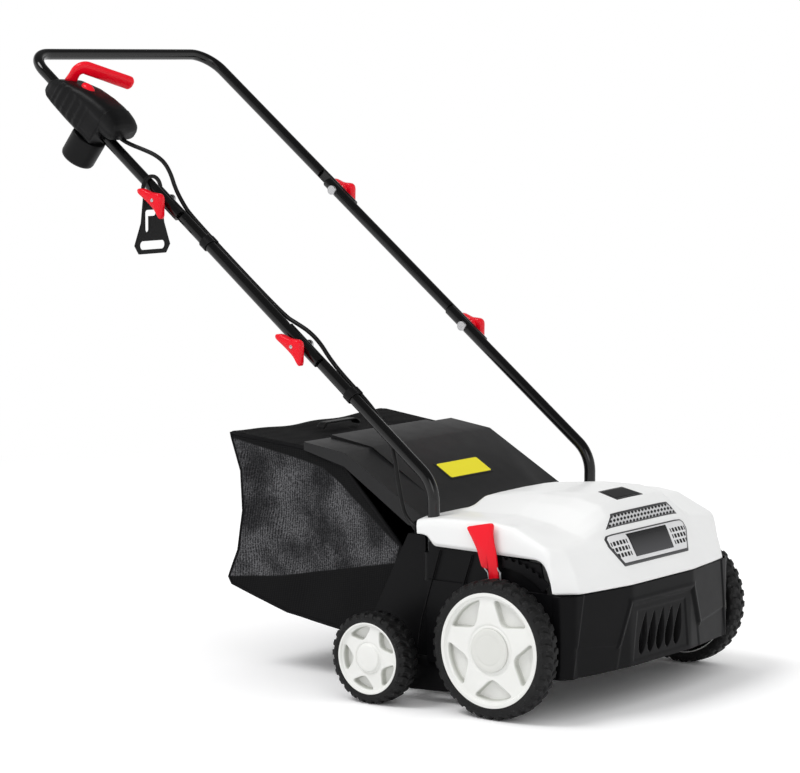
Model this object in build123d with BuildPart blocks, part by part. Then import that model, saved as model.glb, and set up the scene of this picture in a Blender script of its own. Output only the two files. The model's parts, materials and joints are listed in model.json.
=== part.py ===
"""Electric lawn dethatcher with a folding handle and a rear catch bag.

Millimetres. +Z is up, the nose faces -Y, the handle rises towards +Y, and -X is the
operator's right hand. The origin is on the ground, at the middle of the machine's box.
"""
import os
from math import asin, atan2, cos, degrees, hypot, pi, radians, sin, tan

from build123d import *

os.makedirs("parts", exist_ok=True)


def write(piece, label):
    """Name a finished piece and write its file."""
    piece.part.label = label
    export_step(piece.part, f"parts/{label}.step")


SIDES = ((-1, "right"), (1, "left"))
running_gap = 0.05          # radial, between a shaft and the bore that it turns in
slide_gap = 0.3             # between faces that pass each other

# ---- driving sizes: the chassis ---------------------------------------------------------
front_axle_y = -430.0
deck_half_width = 236.0
front_tyre_radius = 105.0
front_tyre_width = 38.0
front_wheel_outside = deck_half_width + 52.5
rear_tyre_radius = 70.5
rear_tyre_width = 42.0
rear_wheel_outside = deck_half_width + 71.0
wheelbase = 212.5
stub_radius = 6.0

deck_wall = 4.0
deck_bottom = 63.0
deck_front = -127.0         # y of the front face, from the front axle
deck_corner = -95.0         # y of the front corners
deck_top = 190.0
deck_rear = 150.0           # y where the wide part of the deck ends
wing_half_width = deck_half_width - 23.0
tunnel_half_width = deck_half_width - 36.0
bearing_plate = 4.0

rotor_y = 118.0
rotor_z = 92.0
tine_reach = 76.0
tunnel_gap = 10.0
shaft_radius = 11.0
journal_radius = 6.0
bearing_radius = 16.0
bearing_width = 9.0

motor_y = 5.0
motor_z = 234.0
motor_radius = 41.0
motor_length = 180.0
motor_shaft_radius = 6.0
motor_pulley_radius = 11.0
rotor_pulley_radius = 22.0
pulley_x = deck_half_width - 18.0
belt_width = 12.0
belt_thickness = 3.0

crank_y = 14.0              # pivot of the front axle, from the front axle
crank_z = 105.0
crank_radius = 7.0
crank_plate = 4.0
lever_lean = 9.7            # degrees behind upright
lever_top = 183.0           # from the pivot to the top of the grip

# ---- driving sizes: hood, flap and bag --------------------------------------------------
hood_half_width = deck_half_width + 1.5
hood_wall = 3.0
hood_rear = 176.0
hood_skirt = 193.0          # height of the skirt at the nose
hood_sill = 241.0           # height of the skirt along the sides
shoulder_height = 289.0
bonnet_height = 317.0
bonnet_half_width = 112.0
bonnet_foot = 152.0

flap_half_width = deck_half_width - 37.5
flap_wall = 3.0
flap_crease = (340.0, 365.4)
flap_end = (420.0, 376.3)
hinge_point = (183.0, 270.0)
hinge_radius = 3.0

bag_front_half_width = deck_half_width - 42.5
bag_rear_half_width = bag_front_half_width + 11.5
bag_wall = 3.0
bag_top = 379.0
bag_end = 565.0

# ---- driving sizes: handle --------------------------------------------------------------
tube_radius = 9.25
tube_wall = 1.5
handle_angle = 38.2
lower_tube_x = deck_half_width - 19.6
middle_tube_x = lower_tube_x + 4.6
upper_tube_x = middle_tube_x + 6.6
tube_base_y = 152.0
tube_base_z = 196.0
tube_bend = 60.0
lower_fold = (403.5, 531.9)
middle_length = 356.3       # between the two fold bolts
upper_length = 377.1        # from the upper fold bolts to the crossbar
crossbar_bend = 45.0
lap = 42.0                  # how far a flattened tube end reaches past its bolt
bolt_radius = 4.0
knob_reach = 23.0
cable_radius = 3.5

# ---- places worked out from them --------------------------------------------------------
along = (cos(radians(handle_angle)), sin(radians(handle_angle)))


def at(y):
    """A distance behind the front axle as a y of the machine."""
    return front_axle_y + y


def on_handle(fold, s, n=0.0):
    """The (y, z) point s along the handle from a fold bolt and n above its tube."""
    return (at(fold[0]) + s * along[0] - n * along[1], fold[1] + s * along[1] + n * along[0])


upper_fold = (lower_fold[0] + middle_length * along[0], lower_fold[1] + middle_length * along[1])
crossbar = (upper_fold[0] + upper_length * along[0], upper_fold[1] + upper_length * along[1])
front_wheel_inside = front_wheel_outside - front_tyre_width
rear_wheel_inside = rear_wheel_outside - rear_tyre_width
tunnel_radius = tine_reach + tunnel_gap
lap_end = lap + 3.0          # where a full round tube starts again, clear of the other tube's end
lower_split = (lower_tube_x + middle_tube_x) / 2
upper_split = (middle_tube_x + upper_tube_x) / 2


def side_plane(x):
    """Sketch plane across the machine at x: u is +Y, v is +Z."""
    return Plane.YZ.offset(x)


def fold_plane(x, fold):
    """Sketch plane beside the handle at x: u runs up the tube, v stands off it."""
    y, z = on_handle(fold, 0)
    return Plane(origin=(x, y, z), x_dir=(0, along[0], along[1]), z_dir=(1, 0, 0))


def tube_plane(x, fold, s):
    """Plane square to the handle tube, s along it: u is +X, v points under the tube."""
    y, z = on_handle(fold, s)
    return Plane(origin=(x, y, z), x_dir=(1, 0, 0), z_dir=(0, along[0], along[1]))


# =========================================================================================
# Deck: the black lower housing
# =========================================================================================
def deck_outline(inset):
    """Plan of the deck, drawn in by inset, bowed at the nose and stepped in at the back."""
    half = deck_half_width - inset
    wing = wing_half_width - inset
    front = deck_front + inset
    corner = deck_corner + inset
    return [
        (-half, at(corner)), (-0.92 * half, at(corner - 13)), (-0.37 * half, at(front)),
        (0.37 * half, at(front)), (0.92 * half, at(corner - 13)), (half, at(corner)),
        (half, at(deck_rear - inset)), (wing, at(deck_rear - inset)), (wing, at(310)),
        (-wing, at(310)), (-wing, at(deck_rear - inset)), (-half, at(deck_rear - inset)),
    ]


upper_wall_top = shoulder_height - 41.0
wing_end = 262.0             # y where the two rear wings end
wing_top = 253.0
ledge = (39.0, 7.0)          # length and thickness of the ledge that the bag's floor rests on
bag_floor = 78.0
recess_half = 88.0
louvre_count = 5
louvre_pitch = 27.0

with BuildPart() as lower_housing:
    # outer form: plan of the deck, cut to its side view
    with BuildSketch(Plane.XY.offset(deck_bottom)):
        Polygon(*deck_outline(0), align=None)
    extrude(amount=wing_top - deck_bottom)
    with BuildSketch(side_plane(0)):
        with BuildLine():
            Polyline(
                (at(deck_front - 5), deck_bottom), (at(wing_end), deck_bottom), (at(wing_end + 6), 126),
                (at(203), wing_top), (at(hood_rear - 5), wing_top), (at(hood_rear - 5), upper_wall_top),
                (at(-56), upper_wall_top - 14), (at(-66), deck_top), (at(deck_front - 5), deck_top),
                close=True,
            )
        make_face()
    extrude(amount=deck_half_width + 10, both=True, mode=Mode.INTERSECT)
    # the part above the deck sits inside the hood's skirt
    with BuildSketch(Plane.XY.offset(deck_top)):
        with Locations((0, at(90))):
            Rectangle(3 * deck_half_width, 500)
            Rectangle(2 * (hood_half_width - hood_wall - 1.5), 450, mode=Mode.SUBTRACT)
    extrude(amount=200, mode=Mode.SUBTRACT)
    # motor bay, open at the top
    with BuildSketch(Plane.XY.offset(deck_top)):
        with Locations((0, at(30))):
            Rectangle(2 * (hood_half_width - hood_wall - 1.5 - deck_wall), 280)
    extrude(amount=200, mode=Mode.SUBTRACT)
    # hollow nose and side bays, open at the bottom
    with BuildSketch(Plane.XY.offset(deck_bottom - 1)):
        Polygon(*deck_outline(deck_wall)[:6], (deck_half_width - deck_wall, at(deck_rear - deck_wall)),
                (tunnel_half_width + bearing_plate, at(deck_rear - deck_wall)),
                (tunnel_half_width + bearing_plate, at(28)),
                (-tunnel_half_width - bearing_plate, at(28)),
                (-tunnel_half_width - bearing_plate, at(deck_rear - deck_wall)),
                (-deck_half_width + deck_wall, at(deck_rear - deck_wall)), align=None)
    extrude(amount=deck_top - deck_wall - deck_bottom + 1, mode=Mode.SUBTRACT)
    # rotor tunnel and the chute that throws back into the bag
    with BuildSketch(side_plane(0)):
        with Locations((at(rotor_y), rotor_z)):
            Circle(tunnel_radius)
        with BuildLine():
            Polyline(
                (at(rotor_y - tunnel_radius), rotor_z), (at(rotor_y - tunnel_radius), deck_bottom - 2),
                (at(rotor_y + tunnel_radius), deck_bottom - 2), (at(wing_end), 92), (at(300), 130),
                (at(206), 262), (at(hood_rear - 9), 262), (at(rotor_y - 5), rotor_z + tunnel_radius - 0.2),
                (at(rotor_y - 40), rotor_z), close=True,
            )
        make_face()
    extrude(amount=tunnel_half_width, both=True, mode=Mode.SUBTRACT)
    # bearing bores, crank bores, belt slot
    with BuildSketch(side_plane(0)):
        with Locations((at(rotor_y), rotor_z)):
            Circle(bearing_radius)
    extrude(amount=tunnel_half_width + bearing_plate + 1, both=True, mode=Mode.SUBTRACT)
    with BuildSketch(Plane.XY.offset(deck_top - deck_wall - 1)):
        with Locations((pulley_x + 1, at(70))):
            Rectangle(belt_width + 14, 130)
    extrude(amount=deck_wall + 2, mode=Mode.SUBTRACT)
    # bosses: bearings, crank, rear stub axles and handle sockets
    for side, _ in SIDES:
        with BuildSketch(side_plane(side * (tunnel_half_width - 1))):
            with Locations((at(rotor_y), rotor_z)):
                Circle(bearing_radius + 5)
                Circle(bearing_radius, mode=Mode.SUBTRACT)
        extrude(amount=side * (bearing_width + 1))
        with BuildSketch(side_plane(side * (deck_half_width - 14))):
            with Locations((at(crank_y), crank_z)):
                Circle(crank_radius + 5)
        extrude(amount=side * 14)
        with BuildSketch(side_plane(side * (tunnel_half_width + 2))):
            with Locations((at(wheelbase), rear_tyre_radius)):
                Circle(stub_radius + 8)
        extrude(amount=side * (rear_wheel_inside - tunnel_half_width - 5))
        with BuildSketch(side_plane(side * tunnel_half_width)):
            with Locations((at(wheelbase), rear_tyre_radius)):
                Circle(stub_radius)
        extrude(amount=side * (rear_wheel_outside - tunnel_half_width), mode=Mode.SUBTRACT)
        with BuildSketch(side_plane(side * (deck_half_width - 16))):
            with Locations((at(crank_y), crank_z)):
                Circle(crank_radius + running_gap)
        extrude(amount=side * 20, mode=Mode.SUBTRACT)
        with BuildSketch(Plane.XY.offset(deck_top - deck_wall)):
            with Locations((side * lower_tube_x, at(tube_base_y))):
                Circle(tube_radius + 5)
        extrude(amount=tube_base_z - deck_top + deck_wall + 34)
        with BuildSketch(Plane.XY.offset(tube_base_z)):
            with Locations((side * lower_tube_x, at(tube_base_y))):
                Circle(tube_radius)
        extrude(amount=60, mode=Mode.SUBTRACT)
    # lugs for the flap's pin, and the ledge under the bag
    for side, _ in SIDES:
        with BuildSketch(side_plane(side * (tunnel_half_width + 2))):
            with Locations((at(hinge_point[0]), hinge_point[1])):
                Circle(2 * hinge_radius)
            with Locations((at(hinge_point[0]) + 2, (wing_top + hinge_point[1]) / 2 - 4)):
                Rectangle(22 - 2 * hinge_radius, hinge_point[1] - wing_top + 8)
            with Locations((at(hinge_point[0]), hinge_point[1])):
                Circle(hinge_radius, mode=Mode.SUBTRACT)
        extrude(amount=side * 9)
    with BuildSketch(side_plane(0)):
        with Locations((at(wing_end - 1 + ledge[0] / 2), bag_floor - slide_gap - ledge[1] / 2)):
            Rectangle(ledge[0] + 2, ledge[1])
    extrude(amount=tunnel_half_width - 4, both=True)
    # louvred recess in the nose
    with BuildSketch(Plane.XZ.offset(-at(deck_front) + 1)):
        with BuildLine():
            Polyline((-recess_half + 16, 148), (recess_half - 16, 148), (recess_half - 6, deck_bottom - 1),
                     (-recess_half + 6, deck_bottom - 1), close=True)
        make_face()
    extrude(amount=-3, mode=Mode.SUBTRACT)
    with BuildSketch(Plane.XZ.offset(-at(deck_front) + 3)):
        for i in range(louvre_count):
            x = (i - (louvre_count - 1) / 2) * louvre_pitch
            with BuildLine():
                Polyline((x - 2, 76), (x + 6, 92), (x + 3, 134), (x - 8, 92), close=True)
            make_face()
    extrude(amount=-deck_wall - 8, mode=Mode.SUBTRACT)
write(lower_housing, "lower_housing")

# toothed quadrant for the depth lever
notch_count = 6
notch_radius = 134.0
quadrant_width = 16.0
quadrant_ends = (92.0, 132.0)   # degrees round the crank, from the rear
with BuildPart() as notch_quadrant:
    with BuildSketch(side_plane(-deck_half_width - 2.5)):
        with Locations((at(crank_y), crank_z)):
            Circle(notch_radius)
            Circle(notch_radius - quadrant_width, mode=Mode.SUBTRACT)
            reach = 2 * notch_radius
            Polygon((0, 0), *[(reach * cos(a), reach * sin(a)) for a in map(radians, quadrant_ends)],
                    align=None, mode=Mode.INTERSECT)
            with PolarLocations(notch_radius, notch_count, start_angle=quadrant_ends[0] + 3,
                                angular_range=quadrant_ends[1] - quadrant_ends[0] - 6):
                Circle(4, mode=Mode.SUBTRACT)
    extrude(amount=2.5)
write(notch_quadrant, "notch_quadrant")

# =========================================================================================
# Hood: the white cover with its raised bonnet, grille and lamp panel
# =========================================================================================
nose_top = (-86.0, 262.0)
nose_foot = (-113.0, hood_skirt)
bonnet_rear = 150.0


def hood_form(inset):
    """The hood's form, drawn in by inset: a low body with a bonnet on top. The inner form
    runs out through the skirt, so that it leaves the hood open underneath."""
    low = hood_skirt - 30
    with BuildPart() as body:
        with BuildSketch(side_plane(0)):
            with BuildLine():
                top = [(at(nose_top[0]), nose_top[1]), (at(-35), shoulder_height - 16),
                       (at(12), shoulder_height), (at(hood_rear), shoulder_height - 7)]
                if inset:
                    Polyline((at(hood_rear), low), (at(nose_foot[0]), low),
                             (at(nose_foot[0]), nose_foot[1]), *top, close=True)
                else:
                    Polyline((at(hood_rear), hood_sill + 18), (at(150), hood_sill + 18),
                             (at(135), hood_sill + 1), (at(-58), hood_sill), (at(-68), hood_sill - 8),
                             (at(-80), hood_skirt + 1), (at(nose_foot[0]), nose_foot[1]), *top,
                             close=True)
            make_face()
            if inset:
                offset(amount=-inset, kind=Kind.INTERSECTION, mode=Mode.REPLACE)
        extrude(amount=hood_half_width - inset, both=True)
        with BuildSketch(Plane.XY):
            with BuildLine():
                Polyline(
                    (-hood_half_width, at(hood_rear)), (-hood_half_width, at(-80)),
                    (-hood_half_width + 31.5, at(-103)), (-90, at(nose_foot[0])), (90, at(nose_foot[0])),
                    (hood_half_width - 31.5, at(-103)), (hood_half_width, at(-80)),
                    (hood_half_width, at(hood_rear)), close=True,
                )
            make_face()
            if inset:
                offset(amount=-inset, kind=Kind.INTERSECTION, mode=Mode.REPLACE)
        extrude(amount=500, mode=Mode.INTERSECT)
    with BuildPart() as bonnet:
        floor = low if inset else hood_skirt + 8
        with BuildSketch(side_plane(0)):
            with BuildLine():
                Polyline((at(bonnet_rear + 3), shoulder_height - 7),
                         (at(bonnet_rear - 3), bonnet_height - 15), (at(40), bonnet_height - 1))
                ThreePointArc((at(40), bonnet_height - 1), (at(-25), bonnet_height),
                              (at(-66), bonnet_height - 10))
                Polyline((at(-66), bonnet_height - 10), (at(-82), shoulder_height),
                         (at(nose_top[0] - 6), nose_top[1]),
                         (at(nose_foot[0]), 215), (at(nose_foot[0]), floor), (at(bonnet_rear + 3), floor),
                         (at(bonnet_rear + 3), shoulder_height - 7))
            make_face()
            if inset:
                offset(amount=-inset, kind=Kind.INTERSECTION, mode=Mode.REPLACE)
        extrude(amount=bonnet_foot + 20, both=True)
        with BuildSketch(Plane.XZ):
            with BuildLine():
                Polyline(
                    (-bonnet_foot, low), (-bonnet_foot, shoulder_height - 3),
                    (-bonnet_half_width, bonnet_height - 9), (-bonnet_half_width + 30, bonnet_height + 1),
                    (bonnet_half_width - 30, bonnet_height + 1), (bonnet_half_width, bonnet_height - 9),
                    (bonnet_foot, shoulder_height - 3), (bonnet_foot, low), close=True,
                )
            make_face()
            if inset:
                offset(amount=-inset, kind=Kind.INTERSECTION, mode=Mode.REPLACE)
        extrude(amount=-900, both=True, mode=Mode.INTERSECT)
        with BuildSketch(Plane.XY):
            with BuildLine():
                Polyline(
                    (-bonnet_foot, at(bonnet_rear + 10)), (-bonnet_foot, at(-50)), (-100, at(-95)),
                    (-88, at(nose_foot[0])), (88, at(nose_foot[0])), (100, at(-95)),
                    (bonnet_foot, at(-50)), (bonnet_foot, at(bonnet_rear + 10)), close=True,
                )
            make_face()
            if inset:
                offset(amount=-inset, kind=Kind.INTERSECTION, mode=Mode.REPLACE)
        extrude(amount=500, mode=Mode.INTERSECT)
    return body.part + bonnet.part


outer_form = hood_form(0)
inner_form = hood_form(hood_wall)
grille_half = (74.0, 98.0)          # upper grille: half widths at its top and foot
grille_rise = (289.0, 272.0)
lamp_rise = (261.0, 251.0, 216.0)   # lamp panel: top, shoulder and foot
lamp_half = (106.0, 110.0, 90.0)
panel_depth = 12.0


def nose_outline(shrink):
    """The grille strip and the lamp panel below it, seen from the front."""
    gx0, gx1 = (w - shrink for w in grille_half)
    lx0, lx1, lx2 = (w - shrink for w in lamp_half)
    strip = [(-gx0, grille_rise[0] - shrink), (gx0, grille_rise[0] - shrink),
             (gx1, grille_rise[1] + shrink), (-gx1, grille_rise[1] + shrink)]
    panel = [(-lx0, lamp_rise[0] - shrink), (lx0, lamp_rise[0] - shrink), (lx1, lamp_rise[1]),
             (lx2, lamp_rise[2] + shrink), (-lx2, lamp_rise[2] + shrink), (-lx1, lamp_rise[1])]
    return strip, panel


with BuildPart() as hood:
    add(outer_form)
    add(inner_form, mode=Mode.SUBTRACT)
    # openings for the grille strip and the lamp panel
    with BuildSketch(Plane.XZ.offset(-at(-60))):
        for outline in nose_outline(0):
            with BuildLine():
                Polyline(*outline, close=True)
            make_face()
    extrude(amount=90, mode=Mode.SUBTRACT)
    # holes for the two handle tubes and for the cable
    with BuildSketch(Plane.XY.offset(hood_sill)):
        for side, _ in SIDES:
            with Locations((side * lower_tube_x, at(tube_base_y))):
                Circle(tube_radius + 1.5)
    extrude(amount=90, mode=Mode.SUBTRACT)
write(hood, "hood")

strip_outline, panel_outline = nose_outline(slide_gap)
mesh_pitch = 7.0
with BuildPart() as front_grille:
    # the two black inserts follow the hood's nose, a little inside its skin
    add(inner_form)
    with BuildSketch(Plane.XZ.offset(-at(-60))):
        for outline in (strip_outline, panel_outline):
            with BuildLine():
                Polyline(*outline, close=True)
            make_face()
    extrude(amount=90, mode=Mode.INTERSECT)
    # keep a shell of them
    grille_back = hood_form(hood_wall + 3)
    add(grille_back, mode=Mode.SUBTRACT)
    # window for the lamp glass and the vent holes each side of it
    with BuildSketch(Plane.XZ.offset(-at(-60))):
        with Locations((0, 238)):
            Rectangle(96, 30)
        for side, _ in SIDES:
            with Locations((side * 74, 239)):
                with GridLocations(10, 9, 4, 3):
                    Circle(3)
        with Locations((0, (grille_rise[0] + grille_rise[1]) / 2)):
            with HexLocations(mesh_pitch / 1.73, 20, 2):
                RegularPolygon(2.7, 6)
    extrude(amount=90, mode=Mode.SUBTRACT)
write(front_grille, "front_grille")

with BuildPart() as lamp_window:
    add(grille_back)
    with BuildSketch(Plane.XZ.offset(-at(-60))):
        with Locations((0, 238)):
            Rectangle(104, 38)
    extrude(amount=90, mode=Mode.INTERSECT)
    add(hood_form(hood_wall + 5), mode=Mode.SUBTRACT)
write(lamp_window, "lamp_window")

# =========================================================================================
# Motor, belt drive and rotor
# =========================================================================================
motor_left = 130.0
with BuildPart() as motor_case:
    with BuildSketch(side_plane(motor_left - motor_length)):
        with Locations((at(motor_y), motor_z)):
            Circle(motor_radius)
            Circle(motor_radius - 4, mode=Mode.SUBTRACT)
    extrude(amount=motor_length)
    for x in (motor_left - motor_length, motor_left - 6):
        with BuildSketch(side_plane(x)):
            with Locations((at(motor_y), motor_z)):
                Circle(motor_radius - 2)
                Circle(motor_shaft_radius + running_gap, mode=Mode.SUBTRACT)
        extrude(amount=6)
    # two feet on the deck
    with BuildSketch(side_plane(motor_left - motor_length + 20)):
        with Locations((at(motor_y), (deck_top + motor_z) / 2 - 10)):
            Rectangle(76, motor_z - deck_top - 20)
        with Locations((at(motor_y), motor_z)):
            Circle(motor_radius - 2, mode=Mode.SUBTRACT)
    extrude(amount=18)
    with BuildSketch(side_plane(motor_left - 38)):
        with Locations((at(motor_y), (deck_top + motor_z) / 2 - 10)):
            Rectangle(76, motor_z - deck_top - 20)
        with Locations((at(motor_y), motor_z)):
            Circle(motor_radius - 2, mode=Mode.SUBTRACT)
    extrude(amount=18)
write(motor_case, "motor_case")

with BuildPart() as motor_shaft:
    with BuildSketch(side_plane(motor_left - motor_length - 40)):
        with Locations((at(motor_y), motor_z)):
            Circle(motor_shaft_radius)
    extrude(amount=motor_length + 40 + pulley_x - motor_left + belt_width / 2 + 3)
    with BuildSketch(side_plane(motor_left - motor_length + 30)):
        with Locations((at(motor_y), motor_z)):
            Circle(motor_radius - 12)
    extrude(amount=motor_length - 60)
write(motor_shaft, "motor_shaft")

fan_blades = 9
with BuildPart() as motor_fan:
    with BuildSketch(side_plane(motor_left - motor_length - 32)):
        with Locations((at(motor_y), motor_z)):
            Circle(12)
            with PolarLocations(23, fan_blades):
                Rectangle(26, 4)
            Circle(motor_shaft_radius, mode=Mode.SUBTRACT)
    extrude(amount=14)
    with BuildSketch(side_plane(motor_left - motor_length - 18)):
        with Locations((at(motor_y), motor_z)):
            Circle(36)
            Circle(motor_shaft_radius, mode=Mode.SUBTRACT)
    extrude(amount=2)
write(motor_fan, "motor_fan")


def pulley_blank(y, z, radius, bore):
    """A pulley with flanges each side of the belt, on a shaft along X."""
    with BuildPart() as blank:
        for start, length, r in ((-belt_width / 2 - 2.5, 2, radius + 4),
                                 (-belt_width / 2 - 0.6, belt_width + 1.2, radius),
                                 (belt_width / 2 + 0.5, 2, radius + 4)):
            with BuildSketch(side_plane(pulley_x + start)):
                with Locations((at(y), z)):
                    Circle(r)
                    Circle(bore, mode=Mode.SUBTRACT)
            extrude(amount=length)
    return blank


motor_pulley = pulley_blank(motor_y, motor_z, motor_pulley_radius, motor_shaft_radius)
write(motor_pulley, "motor_pulley")
rotor_pulley = pulley_blank(rotor_y, rotor_z, rotor_pulley_radius, journal_radius)
write(rotor_pulley, "rotor_pulley")

# the belt runs on both pulleys, along the two outer tangents
pulley_gap = (rotor_y - motor_y, rotor_z - motor_z)
pulley_distance = hypot(*pulley_gap)
line_angle = degrees(atan2(pulley_gap[1], pulley_gap[0]))
wrap = degrees(asin((rotor_pulley_radius - motor_pulley_radius) / pulley_distance))


def belt_face(clearance):
    """Outline that goes round both pulleys at a distance from them."""
    small = motor_pulley_radius + clearance
    large = rotor_pulley_radius + clearance
    ends = []
    for turn in (90 + wrap, -90 - wrap):
        a = radians(line_angle + turn)
        ends.append(((at(motor_y) + small * cos(a), motor_z + small * sin(a)),
                     (at(rotor_y) + large * cos(a), rotor_z + large * sin(a))))
    Polygon(ends[0][0], ends[0][1], ends[1][1], ends[1][0], align=None)
    with Locations((at(motor_y), motor_z)):
        Circle(small)
    with Locations((at(rotor_y), rotor_z)):
        Circle(large)


with BuildPart() as drive_belt:
    with BuildSketch(side_plane(pulley_x - belt_width / 2)) as belt_outside:
        belt_face(slide_gap + belt_thickness)
    extrude(amount=belt_width)
    with BuildSketch(side_plane(pulley_x - belt_width / 2)) as belt_inside:
        belt_face(slide_gap)
    extrude(amount=belt_width, mode=Mode.SUBTRACT)
write(drive_belt, "drive_belt")

disc_xs = (-190.0, -66.0, 58.0, 182.0)
tine_rods = 4
rod_radius = 4.0
rod_orbit = 32.0
with BuildPart() as rotor_shaft:
    with BuildSketch(side_plane(disc_xs[0] - 2)):
        with Locations((at(rotor_y), rotor_z)):
            Circle(shaft_radius)
    extrude(amount=disc_xs[-1] - disc_xs[0] + 12)
    with BuildSketch(side_plane(-tunnel_half_width - bearing_width)):
        with Locations((at(rotor_y), rotor_z)):
            Circle(journal_radius)
    extrude(amount=tunnel_half_width + bearing_width + pulley_x + belt_width / 2 + 3)
    for x in disc_xs:
        with BuildSketch(side_plane(x)):
            with Locations((at(rotor_y), rotor_z)):
                Circle(rod_orbit + 8)
                with PolarLocations(rod_orbit, tine_rods):
                    Circle(rod_radius, mode=Mode.SUBTRACT)
        extrude(amount=4)
write(rotor_shaft, "rotor_shaft")

with BuildPart() as tine_bars:
    with BuildSketch(side_plane(disc_xs[0] - 2)):
        with Locations((at(rotor_y), rotor_z)):
            with PolarLocations(rod_orbit, tine_rods):
                Circle(rod_radius)
    extrude(amount=disc_xs[-1] - disc_xs[0] + 8)
write(tine_bars, "tine_bars")

# each spring tine is a coil on its rod with two legs that reach out to the turf
wire_radius = 1.7
coil_length = 16.0
leg_length = tine_reach - rod_orbit
tines_per_bay = 2
with BuildPart() as spring_tines:
    for row in range(tine_rods):
        turn = 360 / tine_rods * row
        oy = at(rotor_y) + rod_orbit * cos(radians(turn))
        oz = rotor_z + rod_orbit * sin(radians(turn))
        for bay in range(len(disc_xs) - 1):
            for place in range(tines_per_bay):
                x = disc_xs[bay] + 34 + 52 * place + 6 * (row % 2)
                with BuildSketch(side_plane(x)):
                    with Locations((oy, oz)):
                        Circle(rod_radius + 3.5)
                        Circle(rod_radius, mode=Mode.SUBTRACT)
                extrude(amount=coil_length)
                for leg_x in (x + wire_radius + 0.4, x + coil_length - wire_radius - 0.4):
                    leg_plane = Plane(
                        origin=(leg_x, oy + (rod_radius + 1.5) * cos(radians(turn)),
                                oz + (rod_radius + 1.5) * sin(radians(turn))),
                        x_dir=(1, 0, 0), z_dir=(0, cos(radians(turn)), sin(radians(turn))))
                    with BuildSketch(leg_plane):
                        Circle(wire_radius)
                    extrude(amount=leg_length - rod_radius - 1.5)
write(spring_tines, "spring_tines")

with BuildPart() as rotor_bearings:
    for side, _ in SIDES:
        with BuildSketch(side_plane(side * tunnel_half_width)):
            with Locations((at(rotor_y), rotor_z)):
                Circle(bearing_radius)
                Circle(journal_radius + running_gap, mode=Mode.SUBTRACT)
        extrude(amount=side * bearing_width)
write(rotor_bearings, "rotor_bearings")

# =========================================================================================
# Front axle, depth lever, wheels
# =========================================================================================
crank_plate_x = deck_half_width + 4.0
lever_thickness = 9.0
with BuildPart() as front_axle:
    with BuildSketch(side_plane(0)):
        with Locations((at(crank_y), crank_z)):
            Circle(crank_radius)
    extrude(amount=crank_plate_x + 1, both=True)
    for side, _ in SIDES:
        with BuildSketch(side_plane(side * crank_plate_x)):
            with Locations((at(0), front_tyre_radius)):
                Circle(crank_radius + 4)
            with Locations((at(crank_y), crank_z)):
                Circle(crank_radius + 4)
            with Locations((at(crank_y / 2), (crank_z + front_tyre_radius) / 2)):
                Rectangle(crank_y, 2 * crank_radius + 8)
        extrude(amount=side * crank_plate)
        with BuildSketch(side_plane(side * crank_plate_x)):
            with Locations((at(0), front_tyre_radius)):
                Circle(stub_radius)
        extrude(amount=side * (front_wheel_outside - 6 - crank_plate_x))
    # steel arm of the depth lever, on the operator's right
    with BuildSketch(side_plane(-crank_plate_x)):
        with Locations(Location((at(crank_y), crank_z), -lever_lean)):
            with Locations((0, 62)):
                Rectangle(15, 124)
    extrude(amount=-crank_plate)
write(front_axle, "front_axle")

grip_foot = 88.0
with BuildPart() as depth_lever:
    with BuildSketch(side_plane(-crank_plate_x + 1)):
        with Locations(Location((at(crank_y), crank_z), -lever_lean)):
            Polygon((-9, grip_foot), (9, grip_foot), (12, 132), (20, lever_top - 4), (16, lever_top),
                    (-16, lever_top), (-20, lever_top - 4), (-10, 132), align=None)
            fillet(vertices(), 2.5)
    extrude(amount=-lever_thickness)
    with BuildSketch(side_plane(-crank_plate_x)):
        with Locations(Location((at(crank_y), crank_z), -lever_lean)):
            with Locations((0, 62)):
                Rectangle(15, 124)
    extrude(amount=-crank_plate, mode=Mode.SUBTRACT)
write(depth_lever, "depth_lever")

with BuildPart() as lever_clip:
    with BuildSketch(side_plane(-crank_plate_x + 1)):
        with Locations(Location((at(crank_y), crank_z), -lever_lean)):
            with Locations((0, grip_foot - 8)):
                Rectangle(20, 12)
                Rectangle(15, 12, mode=Mode.SUBTRACT)
    extrude(amount=-lever_thickness + 2)
write(lever_clip, "lever_clip")


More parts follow.
